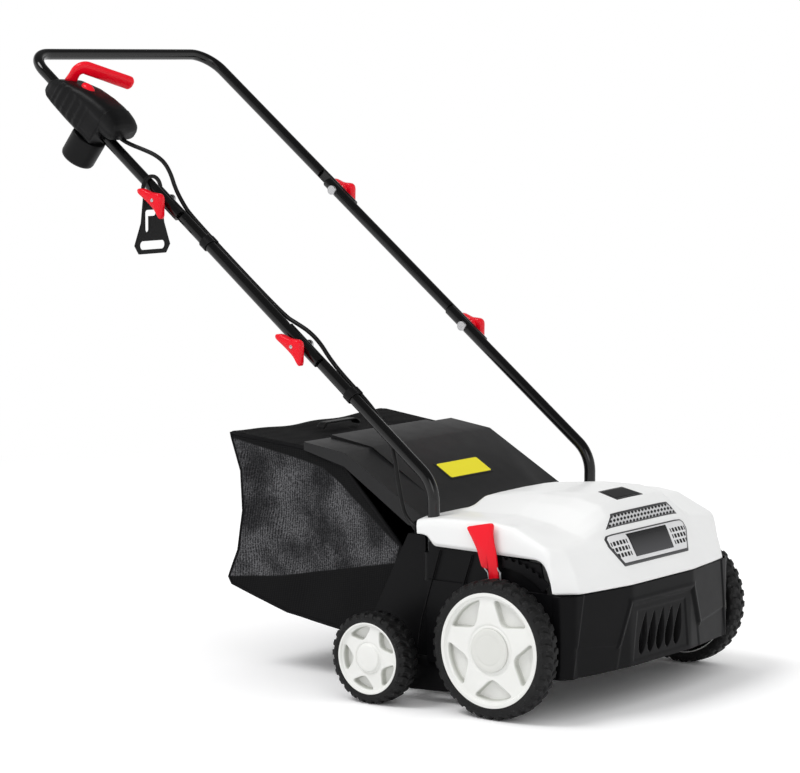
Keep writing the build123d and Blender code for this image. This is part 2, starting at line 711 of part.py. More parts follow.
def wheel(radius, width, outside, y, hub_bore, rim_share, lugs, label, side, turn, has_cap):
    """A tyre, a five-spoked rim and its cap, on the given side."""
    rim_radius = rim_share * radius
    inside = outside - width
    centre = (at(y), radius)
    with BuildPart() as tyre:
        with BuildSketch(Plane(origin=(0, at(y), radius), x_dir=(side, 0, 0), z_dir=(0, -side, 0))):
            with BuildLine():
                Polyline(
                    (inside, rim_radius), (inside, radius - 8), (inside + 7, radius), (outside - 7, radius),
                    (outside, radius - 8), (outside, rim_radius), close=True,
                )
            make_face()
        revolve(axis=Axis((0, at(y), radius), (1, 0, 0)))
        with BuildSketch(side_plane(side * (inside + width * 0.3))):
            with Locations(centre):
                with PolarLocations(radius + 1, lugs, start_angle=-90 + 180 / lugs):
                    Rectangle(10, 7)
        extrude(amount=-side * width * 0.4, mode=Mode.SUBTRACT)
        with BuildSketch(side_plane(side * (outside - width * 0.3))):
            with Locations(centre):
                with PolarLocations(radius + 1, lugs, start_angle=-90 + 180 / lugs):
                    Rectangle(10, 7)
        extrude(amount=side * width * 0.4, mode=Mode.SUBTRACT)
    write(tyre, f"{label}_tyre")
    with BuildPart() as rim:
        with BuildSketch(side_plane(side * (inside + 1))):
            with Locations(centre):
                Circle(rim_radius)
                Circle(rim_radius * 0.93, mode=Mode.SUBTRACT)
        extrude(amount=side * (width - 2))
        with BuildSketch(side_plane(side * (inside + 1))):
            with Locations(centre):
                Circle(hub_bore + 6)
        extrude(amount=side * (width - 7))
        with BuildSketch(side_plane(side * (outside - 17))):
            with Locations(centre):
                Circle(rim_radius * 0.95)
        extrude(amount=side * 4)
        with BuildSketch(side_plane(side * (outside - 14))):
            with Locations(centre):
                Circle(rim_radius * 0.38)
                with PolarLocations(rim_radius * 0.5, 5, start_angle=turn):
                    Rectangle(rim_radius * 0.9, rim_radius * 0.24)
        extrude(amount=side * 8)
        with BuildSketch(side_plane(side * inside)):
            with Locations(centre):
                Circle(hub_bore)
        extrude(amount=side * (width - 5.8), mode=Mode.SUBTRACT)
        if not has_cap:
            with BuildSketch(side_plane(side * (outside - 7))):
                with Locations(centre):
                    Circle(rim_radius * 0.36)
            extrude(amount=side * 6)
    write(rim, f"{label}_rim")
    if has_cap:
        with BuildPart() as cap:
            with BuildSketch(side_plane(side * (outside - 5))):
                with Locations(centre):
                    Circle(rim_radius * 0.375)
            extrude(amount=side * 4)
        write(cap, f"{label}_cap")


for side, name in SIDES:
    wheel(front_tyre_radius, front_tyre_width, front_wheel_outside, 0, stub_radius + running_gap, 0.84,
          30, f"front_{name}", side, 90, True)
    wheel(rear_tyre_radius, rear_tyre_width, rear_wheel_outside, wheelbase, stub_radius + running_gap, 0.8,
          24, f"rear_{name}", side, 54, False)

with BuildPart() as rear_axles:
    for side, _ in SIDES:
        with BuildSketch(side_plane(side * tunnel_half_width)):
            with Locations((at(wheelbase), rear_tyre_radius)):
                Circle(stub_radius)
        extrude(amount=side * (rear_wheel_outside - 8 - tunnel_half_width))
write(rear_axles, "rear_axles")

# =========================================================================================
# Rear flap and its pin
# =========================================================================================
flange_depth = 22.0
raised_half = 128.0
with BuildPart() as rear_flap:
    with BuildSketch(side_plane(0)):
        with BuildLine():
            Polyline(
                (at(hinge_point[0]), hinge_point[1] + 6), (at(flap_crease[0]), flap_crease[1]),
                (at(flap_end[0]), flap_end[1]), (at(flap_end[0]), flap_end[1] - flap_wall),
                (at(flap_crease[0]) + 1, flap_crease[1] - flap_wall - 0.5),
                (at(hinge_point[0]) + 3, hinge_point[1] + 3), close=True,
            )
        make_face()
    extrude(amount=flap_half_width, both=True)
    with BuildSketch(side_plane(0)):
        with BuildLine():
            Polyline(
                (at(hinge_point[0]) + 24, hinge_point[1] + 19), (at(flap_crease[0]) - 2, flap_crease[1] + 2),
                (at(flap_end[0]), flap_end[1] + 4), (at(flap_end[0]), flap_end[1] - 1),
                (at(flap_crease[0]), flap_crease[1] - 1), (at(hinge_point[0]) + 24, hinge_point[1] + 13), close=True,
            )
        make_face()
    extrude(amount=raised_half, both=True)
    for side, _ in SIDES:
        with BuildSketch(side_plane(side * flap_half_width)):
            with BuildLine():
                Polyline(
                    (at(hinge_point[0]) + 5, hinge_point[1] + 8), (at(flap_crease[0]), flap_crease[1] - 1),
                    (at(flap_end[0]), flap_end[1] - 1), (at(flap_end[0]), flap_end[1] - flange_depth * 0.6),
                    (at(flap_crease[0]), flap_crease[1] - flange_depth),
                    (at(hinge_point[0]) + 30, hinge_point[1] - 8), close=True,
                )
            make_face()
        extrude(amount=-side * flap_wall)
    # hinge knuckles round the pin
    for x in (-120.0, 0.0, 120.0):
        with BuildSketch(side_plane(x - 20)):
            with Locations((at(hinge_point[0]), hinge_point[1])):
                Circle(hinge_radius + 3)
            with BuildLine():
                Polyline((at(hinge_point[0]), hinge_point[1]), (at(hinge_point[0]) - 2, hinge_point[1] + 6),
                         (at(hinge_point[0]) + 8, hinge_point[1] + 9), (at(hinge_point[0]) + 6, hinge_point[1]),
                         close=True)
            make_face()
        extrude(amount=40)
    with BuildSketch(side_plane(0)):
        with Locations((at(hinge_point[0]), hinge_point[1])):
            Circle(hinge_radius + running_gap)
    extrude(amount=flap_half_width, both=True, mode=Mode.SUBTRACT)
write(rear_flap, "rear_flap")

with BuildPart() as flap_pin:
    with BuildSketch(side_plane(0)):
        with Locations((at(hinge_point[0]), hinge_point[1])):
            Circle(hinge_radius)
    extrude(amount=wing_half_width - 1, both=True)
write(flap_pin, "flap_pin")

# =========================================================================================
# Catch bag
# =========================================================================================
bag_outline = [
    (212.0, 208.0), (343.0, 344.0), (425.0, 368.0), (bag_end, bag_top), (548.0, 322.0), (546.0, 256.0),
    (556.0, 190.0), (bag_end + 10, 144.0), (569.0, 133.0), (529.0, 120.0), (459.0, 97.0), (403.0, 88.0),
    (345.0, 80.0), (280.0, bag_floor),
]


def bag_form(inset):
    """Closed outer form of the bag, drawn in by inset."""
    with BuildPart() as form:
        with BuildSketch(side_plane(0)):
            with BuildLine():
                Polyline(*[(at(y), z) for y, z in bag_outline], close=True)
            make_face()
            if inset:
                offset(amount=-inset, kind=Kind.INTERSECTION, mode=Mode.REPLACE)
        extrude(amount=bag_rear_half_width, both=True)
        with BuildSketch(Plane.XY):
            with BuildLine():
                front, rear = bag_front_half_width - inset, bag_rear_half_width - inset
                Polyline((-front, at(180)), (-front, at(bag_end - 135)), (-rear, at(bag_end)),
                         (-rear, at(bag_end + 30)), (rear, at(bag_end + 30)), (rear, at(bag_end)),
                         (front, at(bag_end - 135)), (front, at(180)), close=True)
            make_face()
        extrude(amount=500, mode=Mode.INTERSECT)
    return form.part


with BuildPart() as bag_shell:
    add(bag_form(0))
    add(bag_form(bag_wall), mode=Mode.SUBTRACT)
    # the mouth: both front faces are open between the side panels
    with BuildSketch(side_plane(0)):
        with BuildLine():
            Polyline((at(200), 208), (at(331), 344), (at(347), 341), (at(222), 210), (at(288), 83),
                     (at(270), 70), close=True)
        make_face()
    extrude(amount=bag_front_half_width - bag_wall, both=True, mode=Mode.SUBTRACT)
write(bag_shell, "bag_shell")

frame_wire = 3.0
frame_x = bag_front_half_width - bag_wall - frame_wire - slide_gap
with BuildPart() as bag_frame:
    with BuildLine() as frame_path:
        FilletPolyline(
            (-frame_x, at(292), 90), (-frame_x, at(225), 212), (-frame_x, at(342), 333),
            (frame_x, at(342), 333), (frame_x, at(225), 212), (frame_x, at(292), 90), radius=12, close=True,
        )
    with BuildSketch(Plane(frame_path.line @ 0, z_dir=frame_path.line % 0)):
        Circle(frame_wire)
    sweep()
write(bag_frame, "bag_frame")

with BuildPart() as bag_handle:
    with BuildLine() as grip_path:
        FilletPolyline(
            (-48, at(505), bag_top - 2), (-40, at(505), bag_top + 15), (40, at(505), bag_top + 15),
            (48, at(505), bag_top - 2), radius=10,
        )
    with BuildSketch(Plane(grip_path.line @ 0, z_dir=grip_path.line % 0)):
        Rectangle(5, 16)
    sweep()
    with BuildSketch(side_plane(0)):
        with BuildLine():
            Polyline(*[(at(y), z) for y, z in bag_outline], close=True)
        make_face()
    extrude(amount=bag_rear_half_width, both=True, mode=Mode.SUBTRACT)
write(bag_handle, "bag_handle")

# =========================================================================================
# Handle: two fixed tubes, two middle tubes and the upper bow
# =========================================================================================
def ring(radius):
    """Section of a handle tube."""
    Circle(radius)
    Circle(radius - tube_wall, mode=Mode.SUBTRACT)


def flat_end(x, fold, reach, split, keep, tip=lap):
    """Flattened tube end beside a fold bolt: the half of a solid bar on one side of the split
    plane, rounded off about the bolt at a radius of tip. reach is +1 where its free end points
    up the handle, keep +1 where it is the outer half."""
    side = 1 if x > 0 else -1
    start, end = (-lap_end - 2, lap) if reach > 0 else (-lap, lap_end + 2)
    with BuildPart(mode=Mode.PRIVATE) as bar:
        with BuildSketch(tube_plane(0, fold, start)):
            with Locations((x, 0)):
                Circle(tube_radius)
            with Locations((side * (split + keep * (slide_gap / 2 + 25)), 0)):
                Rectangle(50, 4 * tube_radius, mode=Mode.INTERSECT)
        extrude(amount=end - start)
        with BuildSketch(fold_plane(x - 30, fold)):
            Circle(tip)
            with Locations((-reach * 60, 0)):
                Rectangle(120, 60)
            Circle(bolt_radius + running_gap, mode=Mode.SUBTRACT)
        extrude(amount=60, mode=Mode.INTERSECT)
    return bar.part


base_bend_z = lower_fold[1] - (lower_fold[0] - tube_base_y) * tan(radians(handle_angle))
for side, name in SIDES:
    with BuildPart() as lower_tube:
        with BuildLine() as tube_line:
            FilletPolyline(
                (side * lower_tube_x, at(tube_base_y), tube_base_z),
                (side * lower_tube_x, at(tube_base_y), base_bend_z),
                (side * lower_tube_x, *on_handle(lower_fold, -lap_end)), radius=tube_bend,
            )
        with BuildSketch(Plane(tube_line.line @ 0, z_dir=tube_line.line % 0)):
            ring(tube_radius)
        sweep()
        add(flat_end(side * lower_tube_x, lower_fold, 1, lower_split, -1))
    write(lower_tube, f"lower_tube_{name}")

    with BuildPart() as middle_tube:
        with BuildSketch(tube_plane(side * middle_tube_x, lower_fold, lap_end)):
            ring(tube_radius)
        extrude(amount=middle_length - 2 * lap_end)
        add(flat_end(side * middle_tube_x, lower_fold, -1, lower_split, 1))
        add(flat_end(side * middle_tube_x, upper_fold, 1, upper_split, -1, knob_reach))
    write(middle_tube, f"middle_tube_{name}")

with BuildPart() as upper_bow:
    with BuildLine() as bow_line:
        FilletPolyline(
            (-upper_tube_x, *on_handle(upper_fold, lap_end)), (-upper_tube_x, *on_handle(crossbar, 0)),
            (upper_tube_x, *on_handle(crossbar, 0)), (upper_tube_x, *on_handle(upper_fold, lap_end)),
            radius=crossbar_bend,
        )
    with BuildSketch(Plane(bow_line.line @ 0, z_dir=bow_line.line % 0)):
        ring(tube_radius)
    sweep()
    for side, _ in SIDES:
        add(flat_end(side * upper_tube_x, upper_fold, -1, upper_split, 1))
write(upper_bow, "upper_bow")

head_height = 4.0
folds = {
    "lower": (lower_fold, lower_tube_x, middle_tube_x),
    "upper": (upper_fold, middle_tube_x, upper_tube_x),
}
knob_hub = 9.0
knob_depth = 13.0
for fold_name, (fold, inner_x, outer_x) in folds.items():
    head_x = inner_x - tube_radius
    knob_x = outer_x + tube_radius + slide_gap
    with BuildPart() as bolts:
        for side, _ in SIDES:
            with BuildSketch(fold_plane(side * (head_x - head_height), fold)):
                Circle(8)
            extrude(amount=side * head_height)
            with BuildSketch(fold_plane(side * head_x, fold)):
                Circle(bolt_radius)
            extrude(amount=side * (knob_x + knob_depth - 2 - head_x))
    write(bolts, f"{fold_name}_bolts")
    for side, name in SIDES:
        with BuildPart() as knob:
            with BuildSketch(fold_plane(side * knob_x, fold)):
                Circle(knob_hub)
                Circle(bolt_radius + running_gap, mode=Mode.SUBTRACT)
            extrude(amount=side * knob_depth)
            with BuildSketch(fold_plane(side * (knob_x + 5), fold)):
                for end in (-1, 1):
                    with BuildLine():
                        Polyline((end * 6, -5), (end * (knob_reach - 4), -7), (end * knob_reach, 0),
                                 (end * (knob_reach - 4), 7), (end * 6, 5), close=True)
                    make_face()
                Circle(bolt_radius + running_gap, mode=Mode.SUBTRACT)
            extrude(amount=side * (knob_depth + 2))
        write(knob, f"{fold_name}_knob_{name}")

# =========================================================================================
# Switch box on the operator's right tube
# =========================================================================================
box_x = -upper_tube_x - 1.4
box_half = 33.0
base_half = 29.0
box_wall = 2.5
box_start, box_end = -78.0, -214.0       # along the tube, from the crossbar
cover_outline = [
    (box_start, 0.5), (box_start - 4, 12), (-108, 31), (-148, 46), (-196, 55), (-230, 52), (-246, 40),
    (-243, 30), (box_end, 22), (box_end, 0.5),
]
base_outline = [
    (box_start, 0), (box_start, -13), (box_start - 16, -18), (-150, -21), (box_end, -21), (box_end, 0),
]
bail_pivot = (box_x - 5, -106.0)            # across the machine, and along the tube from the crossbar
bail_radius = 8.0
bail_rise = (26.0, 50.0, 64.0)           # foot of the stem, underside and top of the grip
button_place = (box_x - 14, -150.0)
inlet_place = (box_x - 2, -192.0)
inlet_radius = 29.0
inlet_depth = 46.0


def pad_plane(n):
    """Plane parallel to the handle, n above its tubes: u is +X, v runs up the tube."""
    y, z = on_handle(crossbar, 0, n)
    return Plane(origin=(0, y, z), x_dir=(1, 0, 0), z_dir=(0, -along[1], along[0]))


def box_shell(outline, half, open_n):
    """Half of the switch box: a side outline carried across, hollow and open on one face."""
    with BuildPart() as half_box:
        with BuildSketch(fold_plane(box_x, crossbar)):
            Polygon(*outline, align=None)
        extrude(amount=half, both=True)
        with BuildSketch(fold_plane(box_x, crossbar)):
            Polygon(*outline, align=None)
            offset(amount=-box_wall, kind=Kind.INTERSECTION, mode=Mode.REPLACE)
            with Locations(((box_start + box_end) / 2, open_n)):
                Rectangle(box_start - box_end - 2 * box_wall, 2 * box_wall + 1)
        extrude(amount=half - box_wall, both=True, mode=Mode.SUBTRACT)
        with BuildSketch(tube_plane(-upper_tube_x, crossbar, box_end - 1)):
            Circle(tube_radius)
        extrude(amount=box_start - box_end + 2, mode=Mode.SUBTRACT)
    return half_box.part


with BuildPart() as switch_cover:
    add(box_shell(cover_outline, box_half, 0.5))
    with BuildSketch(pad_plane(bail_rise[0] - 4)):
        with Locations(bail_pivot):
            Circle(bail_radius + slide_gap)
        with Locations(button_place):
            Ellipse(6.3, 9.3)
    extrude(amount=50, mode=Mode.SUBTRACT)
write(switch_cover, "switch_cover")

with BuildPart() as switch_base:
    add(box_shell(base_outline, base_half, 0))
    with BuildSketch(pad_plane(-19)):
        with Locations(inlet_place):
            Circle(inlet_radius)
    extrude(amount=-inlet_depth)
    with BuildSketch(pad_plane(-23)):
        with Locations(inlet_place):
            Circle(inlet_radius - 3)
    extrude(amount=-inlet_depth, mode=Mode.SUBTRACT)
write(switch_base, "switch_base")

with BuildPart() as inlet_pins:
    with BuildSketch(pad_plane(-23)):
        with Locations(inlet_place):
            with PolarLocations(9, 3, start_angle=90):
                Circle(2.4)
    extrude(amount=-20)
write(inlet_pins, "inlet_pins")

grip_length = 108.0
grip_turn = -30.0
with BuildPart() as bail_lever:
    with BuildSketch(pad_plane(bail_rise[0])):
        with Locations(bail_pivot):
            Circle(bail_radius)
    extrude(amount=bail_rise[1] - bail_rise[0] + 2)
    with BuildSketch(pad_plane(bail_rise[1])):
        with Locations(Location(bail_pivot, grip_turn)):
            with Locations((grip_length / 2, 0)):
                SlotCenterToCenter(grip_length, 2 * bail_radius)
    extrude(amount=bail_rise[2] - bail_rise[1])
write(bail_lever, "bail_lever")

with BuildPart() as lock_button:
    with BuildSketch(pad_plane(bail_rise[0] + 6)):
        with Locations(button_place):
            Ellipse(6, 9)
    extrude(amount=20)
write(lock_button, "lock_button")

# =========================================================================================
# Cable, its two clips and the cord hook
# =========================================================================================
cable_lift = 4.4                          # above the tube's centre line, where the cable lies along it
cable_exit = (-upper_tube_x + 6.6, 14.5)  # across the machine, and above the tube
gland_length = 12.0
grommet_length = 4.0
middle_cable_x = -middle_tube_x + 12.6
lower_cable_x = -lower_tube_x + 11.9


def up_handle(x, fold, s, n):
    return (x, *on_handle(fold, s, n))


cable_route = [
    up_handle(cable_exit[0], crossbar, box_end - gland_length, cable_exit[1]),
    up_handle(cable_exit[0], upper_fold, 136, cable_exit[1]),
    # a slack loop over the upper fold
    up_handle(cable_exit[0], upper_fold, 114, 21), up_handle(cable_exit[0] + 2, upper_fold, 90, 30.5),
    up_handle(cable_exit[0] + 4, upper_fold, 66, 39), up_handle(cable_exit[0] + 6, upper_fold, 44, 41),
    up_handle(cable_exit[0] + 9, upper_fold, 24, 33), up_handle(cable_exit[0] + 11, upper_fold, 5, 20),
    up_handle(middle_cable_x + 0.4, upper_fold, -20, 10),
    up_handle(middle_cable_x, upper_fold, -50, cable_lift),
    # straight down the middle tube, under its clip
    up_handle(middle_cable_x, lower_fold, 66, cable_lift),
    # a low hump over the lower fold
    up_handle(middle_cable_x + 1, lower_fold, 37, 11.8), up_handle(middle_cable_x + 2, lower_fold, 11, 17.5),
    up_handle(middle_cable_x + 3, lower_fold, -16, 17), up_handle(lower_cable_x, lower_fold, -44, 10),
    up_handle(lower_cable_x, lower_fold, -80, 6.6), up_handle(lower_cable_x, lower_fold, -151, 6.2),
    # round the tube's bend and into the hood
    (lower_cable_x + 1.3, at(257), 413), (lower_cable_x - 1.5, at(240), 389),
    (lower_cable_x - 5.5, at(230), 361), (lower_cable_x - 9.5, at(222), 333),
    (lower_cable_x - 13.5, at(213), 307), (lower_cable_x - 17.5, at(204), 286),
    (lower_cable_x - 20.5, at(192.5), 273.5),
    (lower_cable_x - 22.5, at(hood_rear + grommet_length), hood_sill + 26),
]
# where each stretch starts: the run it starts on and how far along that run
cable_starts = {
    "cable_upper": (0, 0.0), "cable_fold_upper": (4, 0.5), "cable_middle": (9, 0.15),
    "cable_fold_lower": (9, 0.85), "cable_lower": (14, 0.5),
}
route_end = (len(cable_route) - 2, 1.0)


def bend_radii(points):
    """Each corner's arc: 0.45 of its shorter run, over the tangent of half its turn."""
    radii = []
    for before, here, after in zip(points, points[1:], points[2:]):
        first, second = Vector(*here) - Vector(*before), Vector(*after) - Vector(*here)
        half_turn = radians(first.get_angle(second)) / 2
        radii.append(0.45 * min(first.length, second.length) / tan(half_turn))
    return radii


route_radii = bend_radii(cable_route)
print("cable radii", [round(r) for r in route_radii])


def on_route(run, share):
    """The point part of the way along a run of the route."""
    return tuple(a + share * (b - a) for a, b in zip(cable_route[run], cable_route[run + 1]))


cable_length = 0
stretch_ends = list(cable_starts.values())[1:] + [route_end]
for (label, (first, start)), (last, end) in zip(cable_starts.items(), stretch_ends):
    corners = cable_route[first + 1:last + 1]
    with BuildPart() as cable:
        with BuildLine() as cable_line:
            if corners:
                FilletPolyline(on_route(first, start), *corners, on_route(last, end),
                               radius=route_radii[first:last])
            else:
                Line(on_route(first, start), on_route(last, end))
        with BuildSketch(Plane(cable_line.line @ 0, z_dir=cable_line.line % 0)):
            Circle(cable_radius)
        sweep()
    run_length = cable_line.wire().length
    cable_length += run_length
    print(label, round(cable.part.volume / (pi * cable_radius ** 2 * run_length), 4))
    write(cable, label)
print("cable length", round(cable_length))

with BuildPart() as cable_gland:
    with BuildSketch(tube_plane(0, crossbar, box_end)):
        with Locations((cable_exit[0], -cable_exit[1])):
            Circle(5.5)
    extrude(amount=-gland_length, taper=5)
write(cable_gland, "cable_gland")

with BuildPart() as cable_grommet:
    end, before_end = Vector(*cable_route[-1]), Vector(*cable_route[-2])
    with BuildSketch(Plane(end, z_dir=end - before_end)):
        Circle(5)
    extrude(amount=grommet_length + 4)
    with BuildSketch(Plane.XZ.offset(-at(hood_rear))):
        with Locations((cable_route[-1][0], cable_route[-1][2])):
            Circle(20)
    extrude(amount=10, mode=Mode.SUBTRACT)
write(cable_grommet, "cable_grommet")

clips = {
    "cable_clip_upper": (upper_fold, -109.0, -middle_tube_x, middle_cable_x, cable_lift),
    "cable_clip_lower": (lower_fold, -118.0, -lower_tube_x, lower_cable_x, 6.4),
}
clip_width = 14.0
for label, (fold, s, tube_x, cable_x, n) in clips.items():
    with BuildPart() as clip:
        with BuildSketch(tube_plane(0, fold, s - clip_width / 2)):
            with Locations((tube_x, 0)):
                Circle(tube_radius + 2.2)
            with Locations((cable_x - 0.8, -n)):
                Circle(cable_radius + 1.6)
            with Locations((tube_x, 0)):
                Circle(tube_radius, mode=Mode.SUBTRACT)
            with Locations((cable_x, -n)):
                Circle(cable_radius + 0.1, mode=Mode.SUBTRACT)
        extrude(amount=clip_width)
    write(clip, label)

hook_y = upper_fold[0] + knob_reach + 3.0
hook_ring = 18.5
hook_width = 84.0
hook_height = 128.0
hook_thickness = 4.0
hook_tube_z = upper_fold[1] + (hook_y - upper_fold[0]) * tan(radians(handle_angle))
hook_slope = hook_thickness / 2 * tan(radians(handle_angle))
hook_top = hook_tube_z + tube_radius / along[0] + hook_slope + slide_gap
with BuildPart() as cord_hook:
    with BuildSketch(Plane.XZ.offset(-at(hook_y) - hook_thickness / 2)):
        with Locations((-upper_tube_x, hook_top - hook_ring)):
            Circle(hook_ring + 6)
        with BuildLine():
            foot = hook_top + 6 - hook_height
            Polyline(
                (-upper_tube_x - hook_ring, hook_top - hook_ring), (-upper_tube_x - 26, foot + 50),
                (-upper_tube_x - hook_width / 2, foot + 14), (-upper_tube_x - hook_width / 2 + 10, foot),
                (-upper_tube_x + hook_width / 2 - 10, foot), (-upper_tube_x + hook_width / 2, foot + 14),
                (-upper_tube_x + 28, foot + 50), (-upper_tube_x + hook_ring, hook_top - hook_ring), close=True,
            )
        make_face()
        with Locations((-upper_tube_x, hook_top - hook_ring)):
            Circle(hook_ring, mode=Mode.SUBTRACT)
        with Locations((-upper_tube_x, foot + 14)):
            SlotOverall(62, 14, mode=Mode.SUBTRACT)
        with Locations((-upper_tube_x - 13, foot + 52)):
            SlotOverall(34, 10, rotation=90, mode=Mode.SUBTRACT)
        with Locations((-upper_tube_x - 4, foot + 66)):
            SlotOverall(28, 10, mode=Mode.SUBTRACT)
    extrude(amount=hook_thickness)
write(cord_hook, "cord_hook")
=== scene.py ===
import json
from math import cos, hypot, pi, radians, sin

import bmesh
import bpy
import numpy as np
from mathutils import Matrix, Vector

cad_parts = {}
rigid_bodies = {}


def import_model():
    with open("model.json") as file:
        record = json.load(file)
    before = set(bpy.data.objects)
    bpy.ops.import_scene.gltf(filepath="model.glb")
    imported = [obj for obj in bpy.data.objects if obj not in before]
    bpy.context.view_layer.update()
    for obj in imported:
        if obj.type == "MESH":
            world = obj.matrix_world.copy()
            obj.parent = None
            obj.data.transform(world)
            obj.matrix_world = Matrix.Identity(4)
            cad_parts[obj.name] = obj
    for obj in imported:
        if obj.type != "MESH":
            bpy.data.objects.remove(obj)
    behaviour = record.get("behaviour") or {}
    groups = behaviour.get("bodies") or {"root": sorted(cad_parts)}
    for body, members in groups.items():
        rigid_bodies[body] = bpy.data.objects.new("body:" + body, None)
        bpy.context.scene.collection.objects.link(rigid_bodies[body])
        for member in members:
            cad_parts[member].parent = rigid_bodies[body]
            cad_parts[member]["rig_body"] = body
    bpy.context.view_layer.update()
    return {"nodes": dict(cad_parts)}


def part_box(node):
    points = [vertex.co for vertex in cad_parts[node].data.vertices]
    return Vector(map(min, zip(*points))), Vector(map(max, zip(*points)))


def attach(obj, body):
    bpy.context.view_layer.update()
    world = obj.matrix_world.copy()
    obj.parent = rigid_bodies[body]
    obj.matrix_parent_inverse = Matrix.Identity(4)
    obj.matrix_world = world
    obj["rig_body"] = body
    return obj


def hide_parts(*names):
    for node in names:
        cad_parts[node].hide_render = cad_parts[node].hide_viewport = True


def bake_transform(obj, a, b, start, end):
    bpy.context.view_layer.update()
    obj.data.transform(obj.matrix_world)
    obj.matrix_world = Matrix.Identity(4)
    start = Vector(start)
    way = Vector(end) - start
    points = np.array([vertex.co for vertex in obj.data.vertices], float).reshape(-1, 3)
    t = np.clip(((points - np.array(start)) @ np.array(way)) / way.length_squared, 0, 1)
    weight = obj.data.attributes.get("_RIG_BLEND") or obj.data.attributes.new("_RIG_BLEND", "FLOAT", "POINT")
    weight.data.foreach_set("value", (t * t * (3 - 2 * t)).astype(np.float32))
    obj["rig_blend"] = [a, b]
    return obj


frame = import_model()
mm = 0.001


def centreOf(node):
    low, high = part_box(node)
    return (low + high) / 2


frontAxleY = centreOf("front_right_rim").y      # every y below is counted from here, towards the handle


def at(y):
    return frontAxleY + y * mm


def addObject(name, data):
    made = bpy.data.objects.new(name, data)
    bpy.context.scene.collection.objects.link(made)
    return made


print("frame loaded")

camera = {"place": (-3.8477, -2.9373, 0.9780), "azimuth": -53.127, "elevation": 6.272, "lens": 134.2,
          "sensor": 36, "far": 100}
camObject = addObject("camera", bpy.data.cameras.new("camera"))
camObject.data.lens = camera["lens"]
camObject.data.sensor_width = camera["sensor"]
camObject.data.clip_end = camera["far"]
camObject.location = camera["place"]
turn, rise = radians(camera["azimuth"]), radians(camera["elevation"])
back = Vector((sin(turn) * cos(rise), -cos(turn) * cos(rise), sin(rise)))
camObject.rotation_euler = (-back).to_track_quat("-Z", "Y").to_euler()
bpy.context.scene.camera = camObject


class Link:
    # a socket of a node tree: operators on it add Math nodes, node() adds any other node
    def __init__(self, tree, socket=None):
        self.tree, self.socket = tree, socket

    def feed(self, target, value):
        if isinstance(value, Link):
            self.tree.links.new(value.socket, target)
        elif value is not None:
            target.default_value = value

    def node(self, kind, settings=None, sockets=None, out=0):
        made = self.tree.nodes.new(kind)
        for key, value in (settings or {}).items():
            if key == "stops":
                ramp = made.color_ramp
                while len(ramp.elements) < len(value):
                    ramp.elements.new(0.5)
                for element, (place, colour) in zip(ramp.elements, value):
                    element.position = place
                    element.color = colour
            else:
                setattr(made, key, value)
        for key, value in (sockets or {}).items():
            self.feed(made.inputs[key], value)
        return Link(self.tree, made.outputs[out])

    def math(self, operation, *values):
        return self.node("ShaderNodeMath", {"operation": operation}, dict(enumerate(values)))

    def __add__(self, other):
        return self.math("ADD", self, other)

    def __radd__(self, other):
        return self.math("ADD", other, self)

    def __sub__(self, other):
        return self.math("SUBTRACT", self, other)

    def __rsub__(self, other):
        return self.math("SUBTRACT", other, self)

    def __mul__(self, other):
        return self.math("MULTIPLY", self, other)

    def __rmul__(self, other):
        return self.math("MULTIPLY", other, self)

    def __truediv__(self, other):
        return self.math("DIVIDE", self, other)

    def min(self, other):
        return self.math("MINIMUM", self, other)

    def max(self, other):
        return self.math("MAXIMUM", self, other)

    def sine(self):
        return self.math("SINE", self)

    def wrap(self, period):
        return self.math("FLOORED_MODULO", self, period)

    def step(self, low, high):
        # 0 below low, 1 above high, smooth between
        return self.node("ShaderNodeMapRange", {"interpolation_type": "SMOOTHSTEP"},
                         {"Value": self, "From Min": low, "From Max": high}, "Result")

    def mixColour(self, first, second):
        # first where this value is 0, second where it is 1
        made = self.tree.nodes.new("ShaderNodeMix")
        made.data_type = "RGBA"
        self.feed(made.inputs[0], self)
        self.feed(made.inputs[6], first if isinstance(first, Link) else (*first, 1))
        self.feed(made.inputs[7], second if isinstance(second, Link) else (*second, 1))
        return Link(self.tree, made.outputs[2])


def startMaterial(name):
    # an empty material, its tree as a Link, and its object coordinates as (x, y, z) Links and one vector Link
    material = bpy.data.materials.new(name)
    material.use_nodes = True
    material.node_tree.nodes.clear()
    tree = Link(material.node_tree)
    coords = tree.node("ShaderNodeTexCoord", out="Object")
    parts = [tree.node("ShaderNodeSeparateXYZ", sockets={0: coords}, out=i) for i in range(3)]
    return material, tree, coords, parts


def closeMaterial(tree, surface):
    output = tree.tree.nodes.new("ShaderNodeOutputMaterial")
    tree.tree.links.new(surface.socket, output.inputs[0])


def grain(tree, coords, scale, detail=2.0):
    return tree.node("ShaderNodeTexNoise", {"noise_dimensions": "3D"},
                     {"Vector": coords, "Scale": scale, "Detail": detail}, "Fac")


def bumped(tree, height, strength, distance):
    sockets = {"Height": height, "Strength": strength, "Distance": distance}
    return tree.node("ShaderNodeBump", sockets=sockets, out="Normal")


def principled(tree, colour, rough, **sockets):
    # socket names are given with underscores for their spaces
    values = {"Base Color": colour if isinstance(colour, Link) else (*colour, 1), "Roughness": rough}
    values.update({key.replace("_", " "): value for key, value in sockets.items()})
    return tree.node("ShaderNodeBsdfPrincipled", sockets=values)


